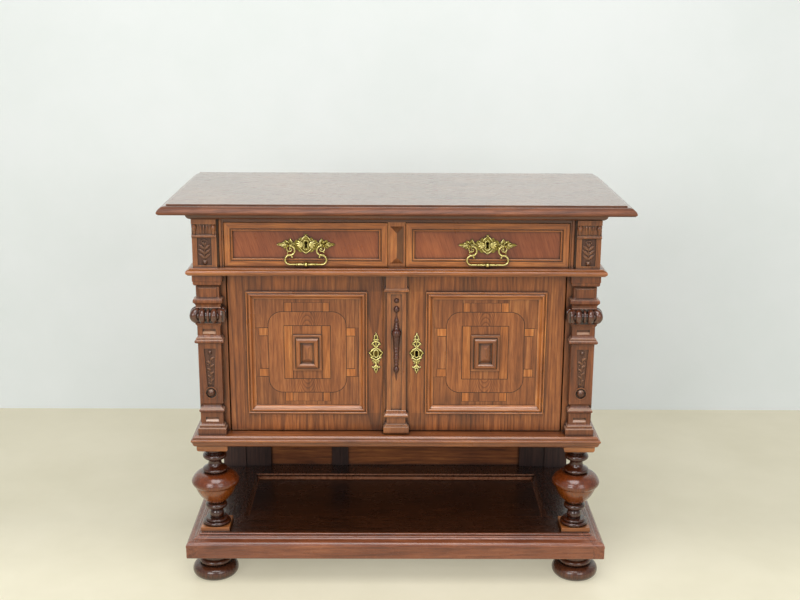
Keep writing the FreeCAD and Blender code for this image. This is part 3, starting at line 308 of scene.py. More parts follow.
        # Painted shade and dirt: darker in corners and recesses, faint over a wide reach and strong close in
        self.over(self.steps(self.crevice(SHADOW_REACH, 4), [(0.25, dirt * 0.6), (0.8, 0.0)]), DIRT_AND_SHADE)
        self.over(self.steps(self.crevice(DIRT_AND_SHADE_REACH), [(0.4, dirt), (0.92, 0.0)]), DIRT_AND_SHADE)
        self.put(self.shader.inputs["Base Color"], self.colour)
        patches = self.math("SUBTRACT", self.noise(self.place, 18.0, 4.0, 0.6), 0.5)
        polish = self.math("ADD", self.math("MULTIPLY", patches, patchy), gloss)
        self.put(self.shader.inputs["Roughness"],
                 self.math("ADD", polish, self.math("MULTIPLY", self.pores, 0.12)))
        height = self.math("SUBTRACT", self.math("MULTIPLY", self.streaks, 0.6), self.pores)
        rough = self.add("Bump", {"Height": height, "Strength": bump, "Distance": 0.0004})
        self.put(self.shader.inputs["Normal"], rough.outputs[0])
        self.put(self.shader.inputs["Coat Weight"], coat)
        self.shader.inputs["Coat Roughness"].default_value = COAT_ROUGHNESS
        return self.material


def wood(name, tones, grain, seed, figure=0.3, **polish):
    """Timber with nothing but its grain and finish."""
    return Wood(name, tones, grain, seed, figure).finish(**polish)


def metal(name, bright, dull, rough, dirt):
    """Old metal: mottled polish, with tarnish in the relief."""
    graph = Graph(name)
    place = graph.add("TexCoord").outputs["Object"]
    mottle = graph.noise(place, 70.0, 3.0, 0.6)
    colour = graph.steps(mottle, [(0.3, dull), (0.7, bright)])
    tarnish = graph.steps(graph.crevice(TARNISH_REACH), [(0.35, 0.9), (0.95, 0.0)])
    graph.put(graph.shader.inputs["Base Color"], graph.blend(tarnish, colour, dirt))
    polish = graph.math("ADD", rough, graph.math("MULTIPLY", mottle, 0.14))
    graph.put(graph.shader.inputs["Roughness"], polish)
    bump = graph.add("Bump", {"Height": mottle, "Strength": 0.12, "Distance": 0.0003})
    graph.put(graph.shader.inputs["Normal"], bump.outputs[0])
    graph.shader.inputs["Metallic"].default_value = 1.0
    return graph.material


# Timbers, each in a dark, a middle and a light tone
OAK = (srgb(92, 47, 20), srgb(148, 86, 42), srgb(190, 124, 68))
HONEY = (srgb(112, 62, 26), srgb(168, 100, 48), srgb(206, 140, 80))
RED = (srgb(96, 45, 26), srgb(144, 79, 50), srgb(174, 106, 70))
BROWN = (srgb(70, 36, 18), srgb(110, 62, 34), srgb(152, 95, 56))
DARK = (srgb(46, 22, 13), srgb(88, 48, 30), srgb(122, 72, 46))
PILASTER = (srgb(70, 33, 14), srgb(116, 62, 30), srgb(160, 96, 52))
COLLAR = (srgb(44, 19, 9), srgb(88, 45, 24), srgb(126, 72, 43))
SPINDLE = (srgb(44, 18, 11), srgb(78, 38, 25), srgb(112, 63, 44))
YELLOW = (srgb(118, 64, 26), srgb(180, 107, 50), srgb(220, 150, 84))
INLAID = (srgb(98, 52, 24), srgb(156, 92, 48), srgb(198, 132, 76))
ARRIS_HIGHLIGHT = (srgb(110, 64, 42), srgb(160, 108, 80), srgb(190, 140, 112))
BALL = (srgb(84, 40, 14), srgb(136, 74, 28), srgb(172, 100, 46))
TOP = (srgb(84, 50, 31), srgb(124, 80, 54), srgb(156, 108, 76))
PINE = (srgb(104, 72, 44), srgb(146, 106, 66), srgb(176, 136, 92))
BASE = (srgb(84, 42, 25), srgb(132, 75, 49), srgb(166, 104, 72))
SHADOWED_SHELF = (srgb(24, 12, 6), srgb(50, 25, 12), srgb(72, 39, 20))
POST = (srgb(36, 22, 18), srgb(62, 40, 34), srgb(84, 58, 50))
CARVE = (srgb(60, 34, 20), srgb(106, 65, 40), srgb(142, 93, 60))
GROUND = (srgb(52, 30, 20), srgb(88, 55, 38), srgb(114, 75, 52))
SILL_HIGHLIGHT = (srgb(132, 92, 70), srgb(186, 146, 120), srgb(214, 180, 156))
LINE = (srgb(22, 11, 6), srgb(34, 17, 9), srgb(46, 24, 13))
# Finishes that several pieces share
SATIN = {"gloss": 0.36, "coat": 0.2}
MATT = {"gloss": 0.5, "coat": 0.05}
DRY = {"gloss": 0.6, "coat": 0.0, "dirt": 0.6}
# Dark plugs in the top: their share of its half width, distance from its back edge and radius
PLUG_SHARE, PLUG_BACK, PLUG_RADIUS = 0.8, 16.0 * MM, 6.0 * MM
# A frieze block's recess: its middle from the block's outer side and foot, its floor and its boss
BLOCK_IN, BLOCK_UP, BLOCK_FLOOR = 31.25 * MM, 43.0 * MM, -203.5 * MM
BLOCK_BOSS, BLOCK_BOSS_RADIUS = 13.5 * MM, 7.5 * MM
# A corner pilaster's middle, the foot and floor of its tapered recess, its bosses and its slots
SHAFT_X, SHAFT_FOOT, SHAFT_FLOOR = 487.0 * MM, 537.5 * MM, -199.0 * MM
FOOT_BOSS_RADIUS = 12.5 * MM
HEAD_BOSS, HEAD_BOSS_RADIUS = 648.0 * MM, 6.5 * MM
SLOT_TOPS, SLOT_FACE = (712.5 * MM, 470.0 * MM), -201.0 * MM
# The base's moulded rim and the step down to its tray, a board of the back and a leaf of a door's frame
RIM, TRAY_STEP, BACK_BOARD, DOOR_LEAF = 44.0 * MM, 14.0 * MM, 166.0 * MM, 41.0 * MM


def dress(names, material):
    """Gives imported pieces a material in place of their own."""
    for name in names:
        mesh = nodes[name].data
        mesh.materials.clear()
        mesh.materials.append(material)


def middle(name):
    """A node's centre and half size."""
    low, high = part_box(name)
    return (low + high) / 2, (high - low) / 2


def both(*names):
    """The left and right nodes of each name."""
    return [f"{name}_{side}" for name in names for _, side in SIDES]


def framed(name):
    """The grain of a mitred frame, from the right one of a pair."""
    centre, half = middle(name + "_right")
    return ("frame", (centre.x, centre.z), (half.x, half.z))


def dress_carcass():
    """The top, mouldings, frieze, pilasters, ends, stand's back and inside."""
    low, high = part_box("front_stiles")
    wrap = ("wrap", high.x, low.y)
    top_low, top_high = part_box("top_board")
    top = Wood("top_wood", TOP, "X", 1.0, 0.35)
    top.spots("Y", top_high.x * PLUG_SHARE, top_high.y - PLUG_BACK, PLUG_RADIUS, 0.85)
    top.specks(0.25, 40.0)
    # Painted shade: the nose below the flat is tinted darker and warmer than the flat top
    nose = srgb(240, 208, 166)
    top.bands(top_low.z, top_high.z, [(0.0, nose), (0.8, nose), (0.96, 1.0)])
    edge = top.math("LESS_THAN", top.facing("Z"), 0.9)
    top.specks(0.7, 130.0, edge)
    coat = top.steps(edge, [(0.0, 0.9), (1.0, 0.1)])
    gloss = top.steps(edge, [(0.0, 0.24), (1.0, 0.5)])
    dress(["top_board"], top.finish(gloss, coat, 0.6, bump=0.07, patchy=0.06))
    dress(["bed_moulding", "top_rail"], wood("bed_wood", BROWN, wrap, 2.0))
    dress(["waist_moulding"], wood("waist_wood", HONEY, wrap, 2.6))
    dress(["ledge_board"], wood("ledge_wood", OAK, wrap, 3.0))
    low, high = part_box("frieze_block_right")
    block = Wood("block_wood", OAK, "Z", 5.0)
    block.spots("Z", high.x - BLOCK_IN, low.z + BLOCK_BOSS, BLOCK_BOSS_RADIUS, 0.6)
    # Its edges are lightened strongly as wear and painted highlight, and its ledges get painted sheen
    dress(both("frieze_block"), block.finish(edge=0.6, bloom=0.6))
    divider = Wood("divider_wood", HONEY, "Z", 5.5)
    # Painted light and shade on the diamond: lighter on the slope facing left, darker on the one facing right
    # and on those facing up and down
    divider.facet_light("X", 1.25, 0.42)
    divider.facet_light("Z", 0.7, 0.45)
    dress(["drawer_divider"], divider.finish())
    dress(["front_stiles"] + both("side_frame"), wood("stile_wood", OAK, "Z", 6.0, 0.4, **SATIN))
    dress(["side_panels"], wood("side_panel_wood", OAK, "Z", 7.0, 0.6, **SATIN))
    pilaster = Wood("pilaster_wood", PILASTER, "Z", 8.0)
    pilaster.spots("Z", SHAFT_X, SHAFT_FOOT, FOOT_BOSS_RADIUS, 0.55)
    pilaster.spots("Z", SHAFT_X, HEAD_BOSS, HEAD_BOSS_RADIUS, 0.6)
    # Painted sheen on the pilasters' ledges, and edges lightened as wear and painted highlight
    dress(both("pilaster"), pilaster.finish(coat=0.3, edge=0.45, bloom=0.5))
    collar = wood("collar_wood", COLLAR, "Z", 9.0, 0.1, gloss=0.12, coat=0.8, dirt=1.0)
    dress(both("gadroon_collar"), collar)
    dress(["stand_back_frame"], wood("post_wood", POST, "Z", 14.0, **MATT))
    dress(["stand_back_panel"], wood("stand_panel_wood", OAK, "X", 15.0, **MATT))
    back = Wood("back_pine", PINE, "Z", 16.0)
    back.boards("X", BACK_BOARD)
    dress(["back_panel"], back.finish(**DRY))
    dress(["dust_board", "drawer_guides", "inner_shelf"], wood("pine", PINE, "X", 16.5, **DRY))


def dress_stand():
    """The ball supports, base, tray and feet."""
    low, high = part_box("ball_support_left")
    ball = Wood("ball_wood", BALL, "Z", 10.0, 0.1)
    neck, bowl, dome = srgb(130, 110, 120), srgb(255, 245, 225), srgb(205, 180, 190)
    ball.bands(low.z, high.z, [(0.0, neck), (0.26, neck), (0.3, bowl), (0.52, bowl),
                               (0.57, dome), (0.68, dome), (0.72, neck), (1.0, neck)])
    dress(both("ball_support"), ball.finish(0.2, 0.7, 0.9, 0.15))
    dress(["support_blocks"], wood("support_wood", HONEY, "X", 11.0))
    low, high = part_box("base_frame")
    base = Wood("base_wood", BASE, ("wrap", high.x * 0.9, low.y * 0.9), 12.0)
    # Painted shade: the tray inside the rim takes dark tones for the shade of the cupboard above
    base.inner(SHADOWED_SHELF, high.x, low.y, RIM)
    # Painted highlights on two arrises of the step behind the tray
    ahead = base.math("LESS_THAN", base.facing("Y"), -0.25)
    ahead = base.math("MULTIPLY", ahead, base.math("GREATER_THAN", base.at("Y"), 0.0))
    step = base.math("DIVIDE", base.math("SUBTRACT", base.at("Z"), high.z - TRAY_STEP), TRAY_STEP)
    step = base.steps(step, [(0.4, 1.0), (0.48, 0.0), (0.66, 0.0), (0.72, 1.0)])
    base.over(base.math("MULTIPLY", ahead, step), base.stain(ARRIS_HIGHLIGHT))
    base.specks(0.3)
    dress(["base_frame"], base.finish(0.26, 0.5))
    # Painted shade: the tray's panel in the same dark tones
    dress(["base_panel"], wood("shadowed_shelf_wood", SHADOWED_SHELF, "X", 12.6, gloss=0.28, coat=0.4))
    dress(["bun_feet"], wood("foot_wood", DARK, "Z", 13.0, 0.1, gloss=0.22, coat=0.5))


def dress_drawers():
    """The drawers' fronts, mouldings and boxes."""
    veneer = Wood("drawer_veneer", RED, "Z", 20.0, 0.0, slant=18.0, contrast=0.6)
    centre, half = middle("drawer_front_right")
    veneer.handled(centre.x, half.x)
    dress(both("drawer_front"), veneer.finish(0.3, 0.3))
    # Painted sheen on the moulding's ledges
    moulding = wood("drawer_moulding_wood", YELLOW, framed("drawer_moulding"), 21.0, bloom=0.4)
    dress(both("drawer_moulding"), moulding)
    dress(both("drawer_box"), wood("drawer_pine", PINE, "Y", 17.0, **DRY))


def dress_doors():
    """The doors' frames, panels and mouldings, and the centre pilaster."""
    # Painted sheen on the ledges of the centre pilaster, the door mouldings and the door bosses
    dress(["centre_pilaster"], wood("centre_wood", OAK, "Z", 18.0, bloom=0.4))
    dress(["centre_baluster"], CARVED["spindle"])
    moulding = wood("door_moulding_wood", YELLOW, framed("door_moulding"), 22.0, bloom=0.4)
    dress(both("door_moulding"), moulding)
    dress(both("door_boss"), wood("door_boss_wood", OAK, framed("door_boss"), 25.0, bloom=0.5))
    low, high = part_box("door_moulding_right")
    door = Wood("door_wood", OAK, "Z", 23.0, 0.45)
    door.leaves(low.z, high.z, DOOR_LEAF)
    dress(both("door_frame"), door.finish(0.34, 0.25))
    panel = Wood("door_panel_wood", OAK, "Z", 24.0)
    panel.over(panel.math("LESS_THAN", panel.facing("Y"), -0.5), panel.stain(LINE))
    dress(both("door_panel"), panel.finish(0.5, 0.0, edge=0.0))


def dress_metal():
    """Brass and iron."""
    dress(both("pull_bail", "escutcheon", "door_pivots") + ["pivot_sockets"], BRASS)
    dress(both("pull_plate"), TARNISH)
    iron = metal("lock_iron", srgb(92, 88, 84), srgb(52, 49, 47), 0.42, srgb(24, 18, 15))
    dress(both("drawer_lock", "drawer_bolt") + ["door_lock", "door_bolt"], iron)


def inset(points, distance):
    """A polygon drawn in from its outline; the points run anticlockwise."""
    moved = []
    for before, here, after in zip(points[-1:] + points[:-1], points, points[1:] + points[:1]):
        edges = []
        for a, b in ((before, here), (here, after)):
            way = Vector((b[0] - a[0], b[1] - a[1])).normalized()
            edges.append(Vector((-way.y, way.x)))
        lean = edges[0] + edges[1]
        reach = distance * 2 / max(lean.length_squared, 0.5)
        moved.append((here[0] + lean.x * reach, here[1] + lean.y * reach))
    return moved


def show(name, work, material, body, smooth=False):
    """Turns a bmesh into a piece that rides on a body."""
    bmesh.ops.recalc_face_normals(work, faces=work.faces)
    mesh = bpy.data.meshes.new(name)
    for face in work.faces:
        face.smooth = smooth
    work.to_mesh(mesh)
    work.free()
    mesh.materials.append(material)
    piece = bpy.data.objects.new(name, mesh)
    bpy.context.scene.collection.objects.link(piece)
    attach(piece, body)
    return piece


# A leaf of veneer: its thickness, and how far it keeps from its outline
LEAF_THICK = 0.35 * MM
LEAF_GAP = 0.8 * MM


class Veneer:
    """Thin leaves of wood on an upright face, gathered into one piece."""

    def __init__(self, origin, face):
        self.origin, self.face = origin, face
        self.work = bmesh.new()
        self.tile = self.work.faces.layers.float.new("tile")
        self.shade = self.work.faces.layers.float.new("shade")

    def lay(self, points, tile, shade, gap=LEAF_GAP):
        """One leaf from its outline in X and Z about the origin."""
        if sum(a[0] * b[1] - b[0] * a[1] for a, b in zip(points, points[1:] + points[:1])) < 0:
            points = points[::-1]
        points = inset(points, gap)
        rims = [[self.work.verts.new((self.origin[0] + x, y, self.origin[1] + z)) for x, z in points]
                for y in (self.face - LEAF_THICK, self.face)]
        faces = [self.work.faces.new(rims[0]), self.work.faces.new(rims[1][::-1])]
        for index in range(len(points)):
            after = (index + 1) % len(points)
            side = (rims[0][index], rims[1][index], rims[1][after], rims[0][after])
            faces.append(self.work.faces.new(side))
        for leaf in faces:
            leaf[self.tile] = tile
            leaf[self.shade] = shade


def rectangle(left, right, low, high):
    """An outline from its four sides."""
    return [(left, low), (right, low), (right, high), (left, high)]


def arc(centre, radius, start, end, count=10):
    """Points on an arc, with its angles in radians."""
    angles = [start + (end - start) * index / count for index in range(count + 1)]
    return [(centre[0] + radius * math.cos(a), centre[1] + radius * math.sin(a)) for a in angles]


# A door panel's parquetry: half sizes of the ring and of the field in it, the ring's corners and dark
# line, blocks by width, height and distance from the middle, and the moulding's cover of the edge
RING_HALF = (102.5 * MM, 111.0 * MM)
RING_ROUND = 37.0 * MM
RING_LINE = 0.8 * MM
INNER_HALF = (61.0 * MM, 73.0 * MM)
SIDE_BLOCK = (25.0 * MM, 22.0 * MM, 56.0 * MM)
END_BLOCK = (20.0 * MM, 25.0 * MM, 50.0 * MM)
BORDER = 21.0 * MM


def lay_panel(side, name):
    """The parquetry of one door's panel."""
    panel, _ = middle(f"door_panel_{name}")
    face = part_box(f"door_panel_{name}")[0].y
    moulding, boss = (middle(f"door_{part}_{name}")[1] for part in ("moulding", "boss"))
    field = (moulding.x - BORDER, moulding.z - BORDER)
    origin = (panel.x, panel.z)
    rx, rz = RING_HALF
    ix, iz = INNER_HALF
    width, height, along = SIDE_BLOCK
    end_width, end_height, end_along = END_BLOCK
    reach = along - height / 2
    span, end = end_along - end_width / 2, end_along + end_width / 2
    tone = 1.0 + side * 3.0
    ground, light, ring = (Veneer(origin, face) for _ in range(3))

    def turn(points, sx, sz):
        """An outline mirrored across the panel's middle lines."""
        return [(x * sx, z * sz) for x, z in points]

    bend = arc((rx - RING_ROUND, rz - RING_ROUND), RING_ROUND, 0.0, math.pi / 2)
    corner = [(end, field[1]), (field[0], field[1]), (field[0], along + height / 2),
              (rx, along + height / 2)] + bend + [(end, rz)]
    for sx, sz in ((-1, -1), (1, -1), (1, 1), (-1, 1)):
        tone += 1.3
        ground.lay(turn(corner, sx, sz), tone, 0.84 + 0.05 * math.sin(tone * 2.1))
        light.lay(turn(rectangle(rx, rx + width, reach, along + height / 2), sx, sz),
                  tone, 1.0 + 0.08 * math.sin(tone * 3.7))
        light.lay(turn(rectangle(span, end, rz, rz + end_height), sx, sz),
                  tone + 0.4, 0.92 + 0.1 * math.sin(tone * 5.1))
    inner_bend = arc((rx - RING_ROUND, rz - RING_ROUND), RING_ROUND - RING_LINE, 0.0, math.pi / 2)
    for way in (-1, 1):
        tone += 1.7
        edge = rx + width * 0.88
        ground.lay(turn(rectangle(rx, edge, -reach, reach), way, 1), tone, 0.96)
        ground.lay(turn(rectangle(edge, field[0], -reach, reach), way, 1), tone + 0.2, 0.84, 0.0)
        for low in (reach, -along - height / 2):
            ground.lay(turn(rectangle(rx + width, field[0], low, low + height), way, 1),
                       tone + 0.2, 0.84, 0.0)
        ground.lay(turn(rectangle(-span, span, rz, rz + end_height), 1, way), tone + 0.6, 0.9)
        ground.lay(turn(rectangle(-span - end_width, span + end_width, rz + end_height, field[1]), 1, way),
                   tone + 0.8, 0.84, 0.0)
        half = [(0.0, RING_LINE - rz)] + [(x, -z) for x, z in reversed(inner_bend)] + inner_bend
        half += [(0.0, rz - RING_LINE), (0.0, iz + RING_LINE), (ix + RING_LINE, iz + RING_LINE),
                 (ix + RING_LINE, -iz - RING_LINE), (0.0, -iz - RING_LINE)]
        ring.lay(turn(half, way, 1), 7.0 + side, 1.0, 0.0)
        light.lay(turn(rectangle(boss.x, ix, -iz, iz), way, 1), tone + 2.0, 0.88)
        ground.lay(turn(rectangle(-boss.x, boss.x, boss.z, iz), 1, way), tone + 3.0, 0.98)
    for part, veneer in (("ground", ground), ("blocks", light), ("ring", ring)):
        show(f"panel_{part}_{name}", veneer.work, INLAY[part], f"{name}_door")


def smooth_path(points, closed):
    """Points on a smooth line through given points, four for each of them."""
    count = 4
    if closed:
        ends = points[-1:] + points + points[:2]
    else:
        ends = points[:1] + points + points[-1:]
    path = []
    for a, b, c, d in zip(ends, ends[1:], ends[2:], ends[3:]):
        for index in range(count):
            t = index / count
            path.append(0.5 * (2 * b + (c - a) * t + (2 * a - 5 * b + 4 * c - d) * t * t
                               + (3 * b - a - 3 * c + d) * t ** 3))
    return path if closed else path + [points[-1]]


class Relief:
    """Carved or cast work on an upright face: x and z from an origin and heights towards the front, in mm.

    way mirrors what follows in x, and bold thickens its rods.
    """

    def __init__(self, origin, face):
        self.origin, self.face = origin, face
        self.work = bmesh.new()
        self.way = 1
        self.bold = 1.0

    def point(self, x, z, height):
        return self.work.verts.new((self.origin[0] + self.way * x * MM, self.face - height * MM,
                                    self.origin[1] + z * MM))

    def skin(self, rows, round_row, round_path=False):
        """Faces between rows of points."""
        pairs = list(zip(rows, rows[1:])) + ([(rows[-1], rows[0])] if round_path else [])
        for here, after in pairs:
            count = len(here)
            for index in range(count if round_row else count - 1):
                other = (index + 1) % count
                self.work.faces.new((here[index], here[other], after[other], after[index]))

    def leaf(self, x, z, angle, length, width, height, base=0.0, bend=0.0, rib=0.3):
        """A pointed leaf with a grooved middle; the angle runs from upright towards +x, in degrees."""
        rows, count, columns = [], 10, 8
        for index in range(count + 1):
            t = index / count
            turn = math.radians(angle + bend * t)
            half = width / 2 * max(math.sin(math.pi * (0.1 + 0.9 * t) ** 0.85), 0.04)
            rise = height * max(math.sin(math.pi * (0.2 + 0.8 * t)), 0.0) ** 0.7
            row = []
            for column in range(columns + 1):
                s = 2 * column / columns - 1
                lift = rise * (1 - abs(s) ** 2) * (1 - rib * math.exp(-(s / 0.22) ** 2))
                row.append(self.point(x + s * half * math.cos(turn), z - s * half * math.sin(turn),
                                      base + lift))
            rows.append(row)
            x += length / count * math.sin(turn)
            z += length / count * math.cos(turn)
        self.skin(rows, False)
        self.skin([[row[-1], row[0]] for row in rows], False)
        for row in (rows[0], rows[-1]):
            self.work.faces.new(row)

    def rod(self, points, radii, lift, closed=False, sides=8):
        """A tube along a smooth line, with a radius at each point."""
        if not isinstance(radii, (list, tuple)):
            radii = [radii] * len(points)
        path = [Vector((x, z, radius * self.bold)) for (x, z), radius in zip(points, radii)]
        path = smooth_path(path, closed)
        rows = []
        for index, here in enumerate(path):
            before = path[index - 1] if closed else path[max(index - 1, 0)]
            after = path[(index + 1) % len(path)] if closed else path[min(index + 1, len(path) - 1)]
            along = Vector((after.x - before.x, after.y - before.y)).normalized()
            row = []
            for side in range(sides):
                angle = 2 * math.pi * side / sides
                out = here.z * math.cos(angle)
                row.append(self.point(here.x - along.y * out, here.y + along.x * out,
                                      lift + here.z * math.sin(angle)))
            rows.append(row)
        self.skin(rows, True, closed)
        if not closed:
            self.work.faces.new(rows[0])
            self.work.faces.new(rows[-1])

    def ball(self, x, z, radius, lift, tall=1.0):
        """A turned bead that faces the front."""
        rows = []
        for ring in range(1, 8):
            angle = math.pi * ring / 8
            rows.append([self.point(x + radius * math.sin(angle) * math.cos(math.pi * side / 6),
                                    z + radius * math.sin(angle) * math.sin(math.pi * side / 6),
                                    lift + radius * tall * math.cos(angle)) for side in range(12)])
        self.skin(rows, True)
        self.work.faces.new(rows[0])
        self.work.faces.new(rows[-1])

    def plate(self, outline, low, high):
        """A flat piece with a given outline."""
        rows = [[self.point(x, z, height) for x, z in outline] for height in (low, high)]
        self.skin(rows, True)
        for row in rows:
            self.work.faces.new(row)


def keyhole(eye, eye_z, neck, foot, low):
    """A keyhole's outline: a round eye over a flared slot."""
    start = math.asin(neck / eye) - math.pi / 2
    return arc((0, eye_z), eye, start, math.pi - start, 16) + [(-foot, low), (foot, low)]


def cast_pull(name):
    """Leaves, shield and scrolls on one drawer's pull, and on its bail."""
    hinge = next(joint["pos_m"] for joint in frame["joints"] if joint["name"] == f"{name}_bail_swing")
    origin, face = (hinge[0], hinge[2]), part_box(f"drawer_front_{name}")[0].y
    plate, bail, dark = Relief(origin, face), Relief(origin, hinge[1]), Relief(origin, face)
    for way in (1, -1):
        plate.way = bail.way = way
        plate.rod([(0.6, 23.5), (5, 19.8), (9.6, 14), (12.6, 9)], [1.3, 1.9, 2.2, 1.1], 3.2)
        plate.rod([(14.6, -8.5), (9.8, -14.6), (4.6, -18.8), (0.6, -22)], [1.1, 2.0, 2.0, 1.4], 3.2)
        for angle, length in ((56, 18.5), (80, 20.5), (104, 20.5), (128, 18)):
            plate.leaf(7.4, 0.5, angle, length, 10.5, 3.0, 2.4, rib=0.12)
        for x, z, radius in (
                (17.2, 14.4, 1.6), (28, 6.6, 1.5), (28, -5.4, 1.4), (16.6, -15, 1.7), (72.6, 0, 1.6)):
            plate.ball(x, z, radius, 3.0)
        for x, z, angle, length, width, bend in (
                (33, 0, 92, 40, 8, 0), (35, 1, 12, 16, 7, 16), (42, 1, 34, 14, 6, 24),
                (51, 1, 50, 12, 5.4, 26), (36, -1, 146, 12, 6, -24), (45, -1, 132, 13, 6, -24),
                (55, -1, 124, 11, 5, -22), (28, 1, 66, 9, 5, 12)):
            plate.leaf(x, z, angle, length, width, 2.6, 2.2, bend)
        bail.rod([(46, -2), (48.6, -6.5), (47, -12), (42.4, -14.8), (37.6, -13.4), (36, -9.6), (38.2, -6.8),
                  (41, -8.2), (40.4, -10.8)], [1.2, 1.7, 1.9, 1.8, 1.6, 1.4, 1.3, 1.4, 1.7], 0.0)
        bail.ball(46, -16.6, 2.4, 0.0)
        bail.rod([(40.4, -24.4), (37.4, -25.6), (35.4, -28)], [1.5, 1.7, 2.0], 0.0)
        bail.ball(35, -29.6, 2.9, 0.0)
        bail.rod([(41, -24.4), (45, -23.2), (48.4, -21.2)], [1.6, 1.3, 0.5], 0.0)
        bail.rod([(40, -24.6), (35.4, -23.8), (31.4, -21.6)], [1.6, 1.3, 0.5], 0.0)
        bail.rod([(26.5, -49.2), (23.5, -49.2), (20.5, -49.2)], [2.8, 4.9, 2.6], 0.0)
    plate.way = 1
    half = [(0, 11.6), (4.4, 9.8), (6.2, 4.8), (4.9, -0.4), (5.2, -4.4), (6.6, -7.6), (4.2, -11.4)]
    shield = half + [(0, -13.2)] + [(-x, z) for x, z in reversed(half[1:])]
    plate.rod(shield, 1.5, 3.2, closed=True)
    plate.leaf(0, 21.5, 0, 6, 4.6, 2.4, 2.4)
    plate.ball(0, 24.6, 2.2, 2.9)
    plate.leaf(0, -19.5, 180, 6, 5, 2.4, 2.4)
    # Painted shadow: a dark plate for the keyhole's depth
    dark.plate(keyhole(3.5, 4.6, 1.9, 2.7, -8.2), 1.0, 2.7)
    show(f"pull_relief_{name}", plate.work, BRASS, f"{name}_drawer", True)
    show(f"bail_relief_{name}", bail.work, BRASS, f"{name}_bail", True)
    show(f"pull_keyhole_shadow_{name}", dark.work, KEYHOLE_SHADOW, f"{name}_drawer")


def cast_escutcheon(name):
    """One door's pierced escutcheon, with wood showing between its scrolls."""
    centre, _ = middle(f"escutcheon_{name}")
    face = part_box(f"door_frame_{name}")[0].y
    work = Relief((centre.x, centre.z), face)
    work.bold = 1.35
    rim = [(5, 12), (12, 7.5), (16.5, 1), (11.5, -5), (10.5, -11), (3, -17)]
    # Painted shadow: a dark brass plate behind the middle of the openwork, in its openings
    ground = Relief((centre.x, centre.z), face)
    ground.plate(rim + [(-x, z) for x, z in reversed(rim)], 0.0, 0.5)
    show(f"escutcheon_ground_{name}", ground.work, SHADED, f"{name}_door")
    for way in (1, -1):
        work.way = way
        work.rod([(0, 52), (3.2, 47), (4.6, 42), (2.6, 38), (0, 36.4)], [0.9, 1.5, 1.7, 1.6, 1.6], 1.3)
        work.rod([(0, 37), (3.6, 35.6), (6.6, 37.6), (7.6, 36)], [1.5, 1.4, 1.2, 1.0], 1.3)
        work.rod([(0, 31.6), (5, 30.6), (9.4, 27.6), (11.4, 24.6), (9, 23.8)], [1.8, 1.9, 1.8, 1.5, 1.3], 1.4)
        work.rod([(9.4, 27), (5.6, 21.6), (2, 16.6), (2, 13.6), (6, 11.6), (13, 9.4)],
                 [1.1, 1.7, 2.0, 1.9, 1.8, 0.9], 1.4)
        work.rod([(5, 11), (10.6, 7.4), (15.4, 3.6), (19, 0.8)], [1.4, 1.8, 1.6, 0.7], 1.4)
        work.rod([(18.4, 0.8), (14.4, -2.4), (12.4, -6.4), (14.4, -9)], [0.8, 1.7, 1.8, 1.2], 1.4)
        work.rod([(5.4, -6), (8.4, -8.4), (12.6, -7.4)], [1.2, 1.5, 0.9], 1.4)
        work.rod([(14.4, -12.4), (9.4, -13.4), (4.4, -16.4), (0, -19.4)], [1.1, 1.9, 2.0, 1.8], 1.4)
        work.leaf(1, -24, 62, 12, 6, 2.6, 0.2, 34)
        work.leaf(1, -25, 118, 9, 5, 2.2, 0.2, -20)
        work.rod([(0, -32), (3.6, -36.4), (7.6, -39), (11.4, -37)], [1.9, 2.1, 2.0, 0.9], 1.4)
        work.rod([(1.4, -40), (4, -44.4), (2.4, -48), (0, -52)], [1.4, 1.7, 1.5, 0.7], 1.3)
    work.way = 1
    half = [(0, 9), (4.6, 6.8), (5.8, 1), (5.4, -5), (3.6, -9.6)]
    work.rod(half + [(0, -11.4)] + [(-x, z) for x, z in reversed(half[1:])], 1.5, 1.6, closed=True)
    work.rod([(0, -17), (0, -22), (0, -30), (0, -36), (0, -42)], [1.8, 2.0, 2.0, 2.0, 1.6], 1.2)
    work.rod([(0, 13), (0, 18), (0, 25), (0, 31)], [2.0, 1.8, 1.5, 1.6], 1.2)
    work.ball(0, -27, 4.0, 1.2, 0.8)
    work.leaf(0, 49, 0, 8, 5.4, 2.2, 0.4)
    work.leaf(0, -48.5, 180, 8.5, 5.4, 2.2, 0.4)
    piece = show(f"escutcheon_relief_{name}", work.work, BRASS, f"{name}_door", True)
    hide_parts(f"escutcheon_{name}")
    if name == "right":
        # Painted shadow: a dark plate for the keyhole's depth
        dark = Relief((centre.x, centre.z), face)
        dark.plate(keyhole(3.7, 2.8, 1.9, 2.4, -13.0), 0.4, 0.9)
        show("door_keyhole_shadow", dark.work, KEYHOLE_SHADOW, "right_door")


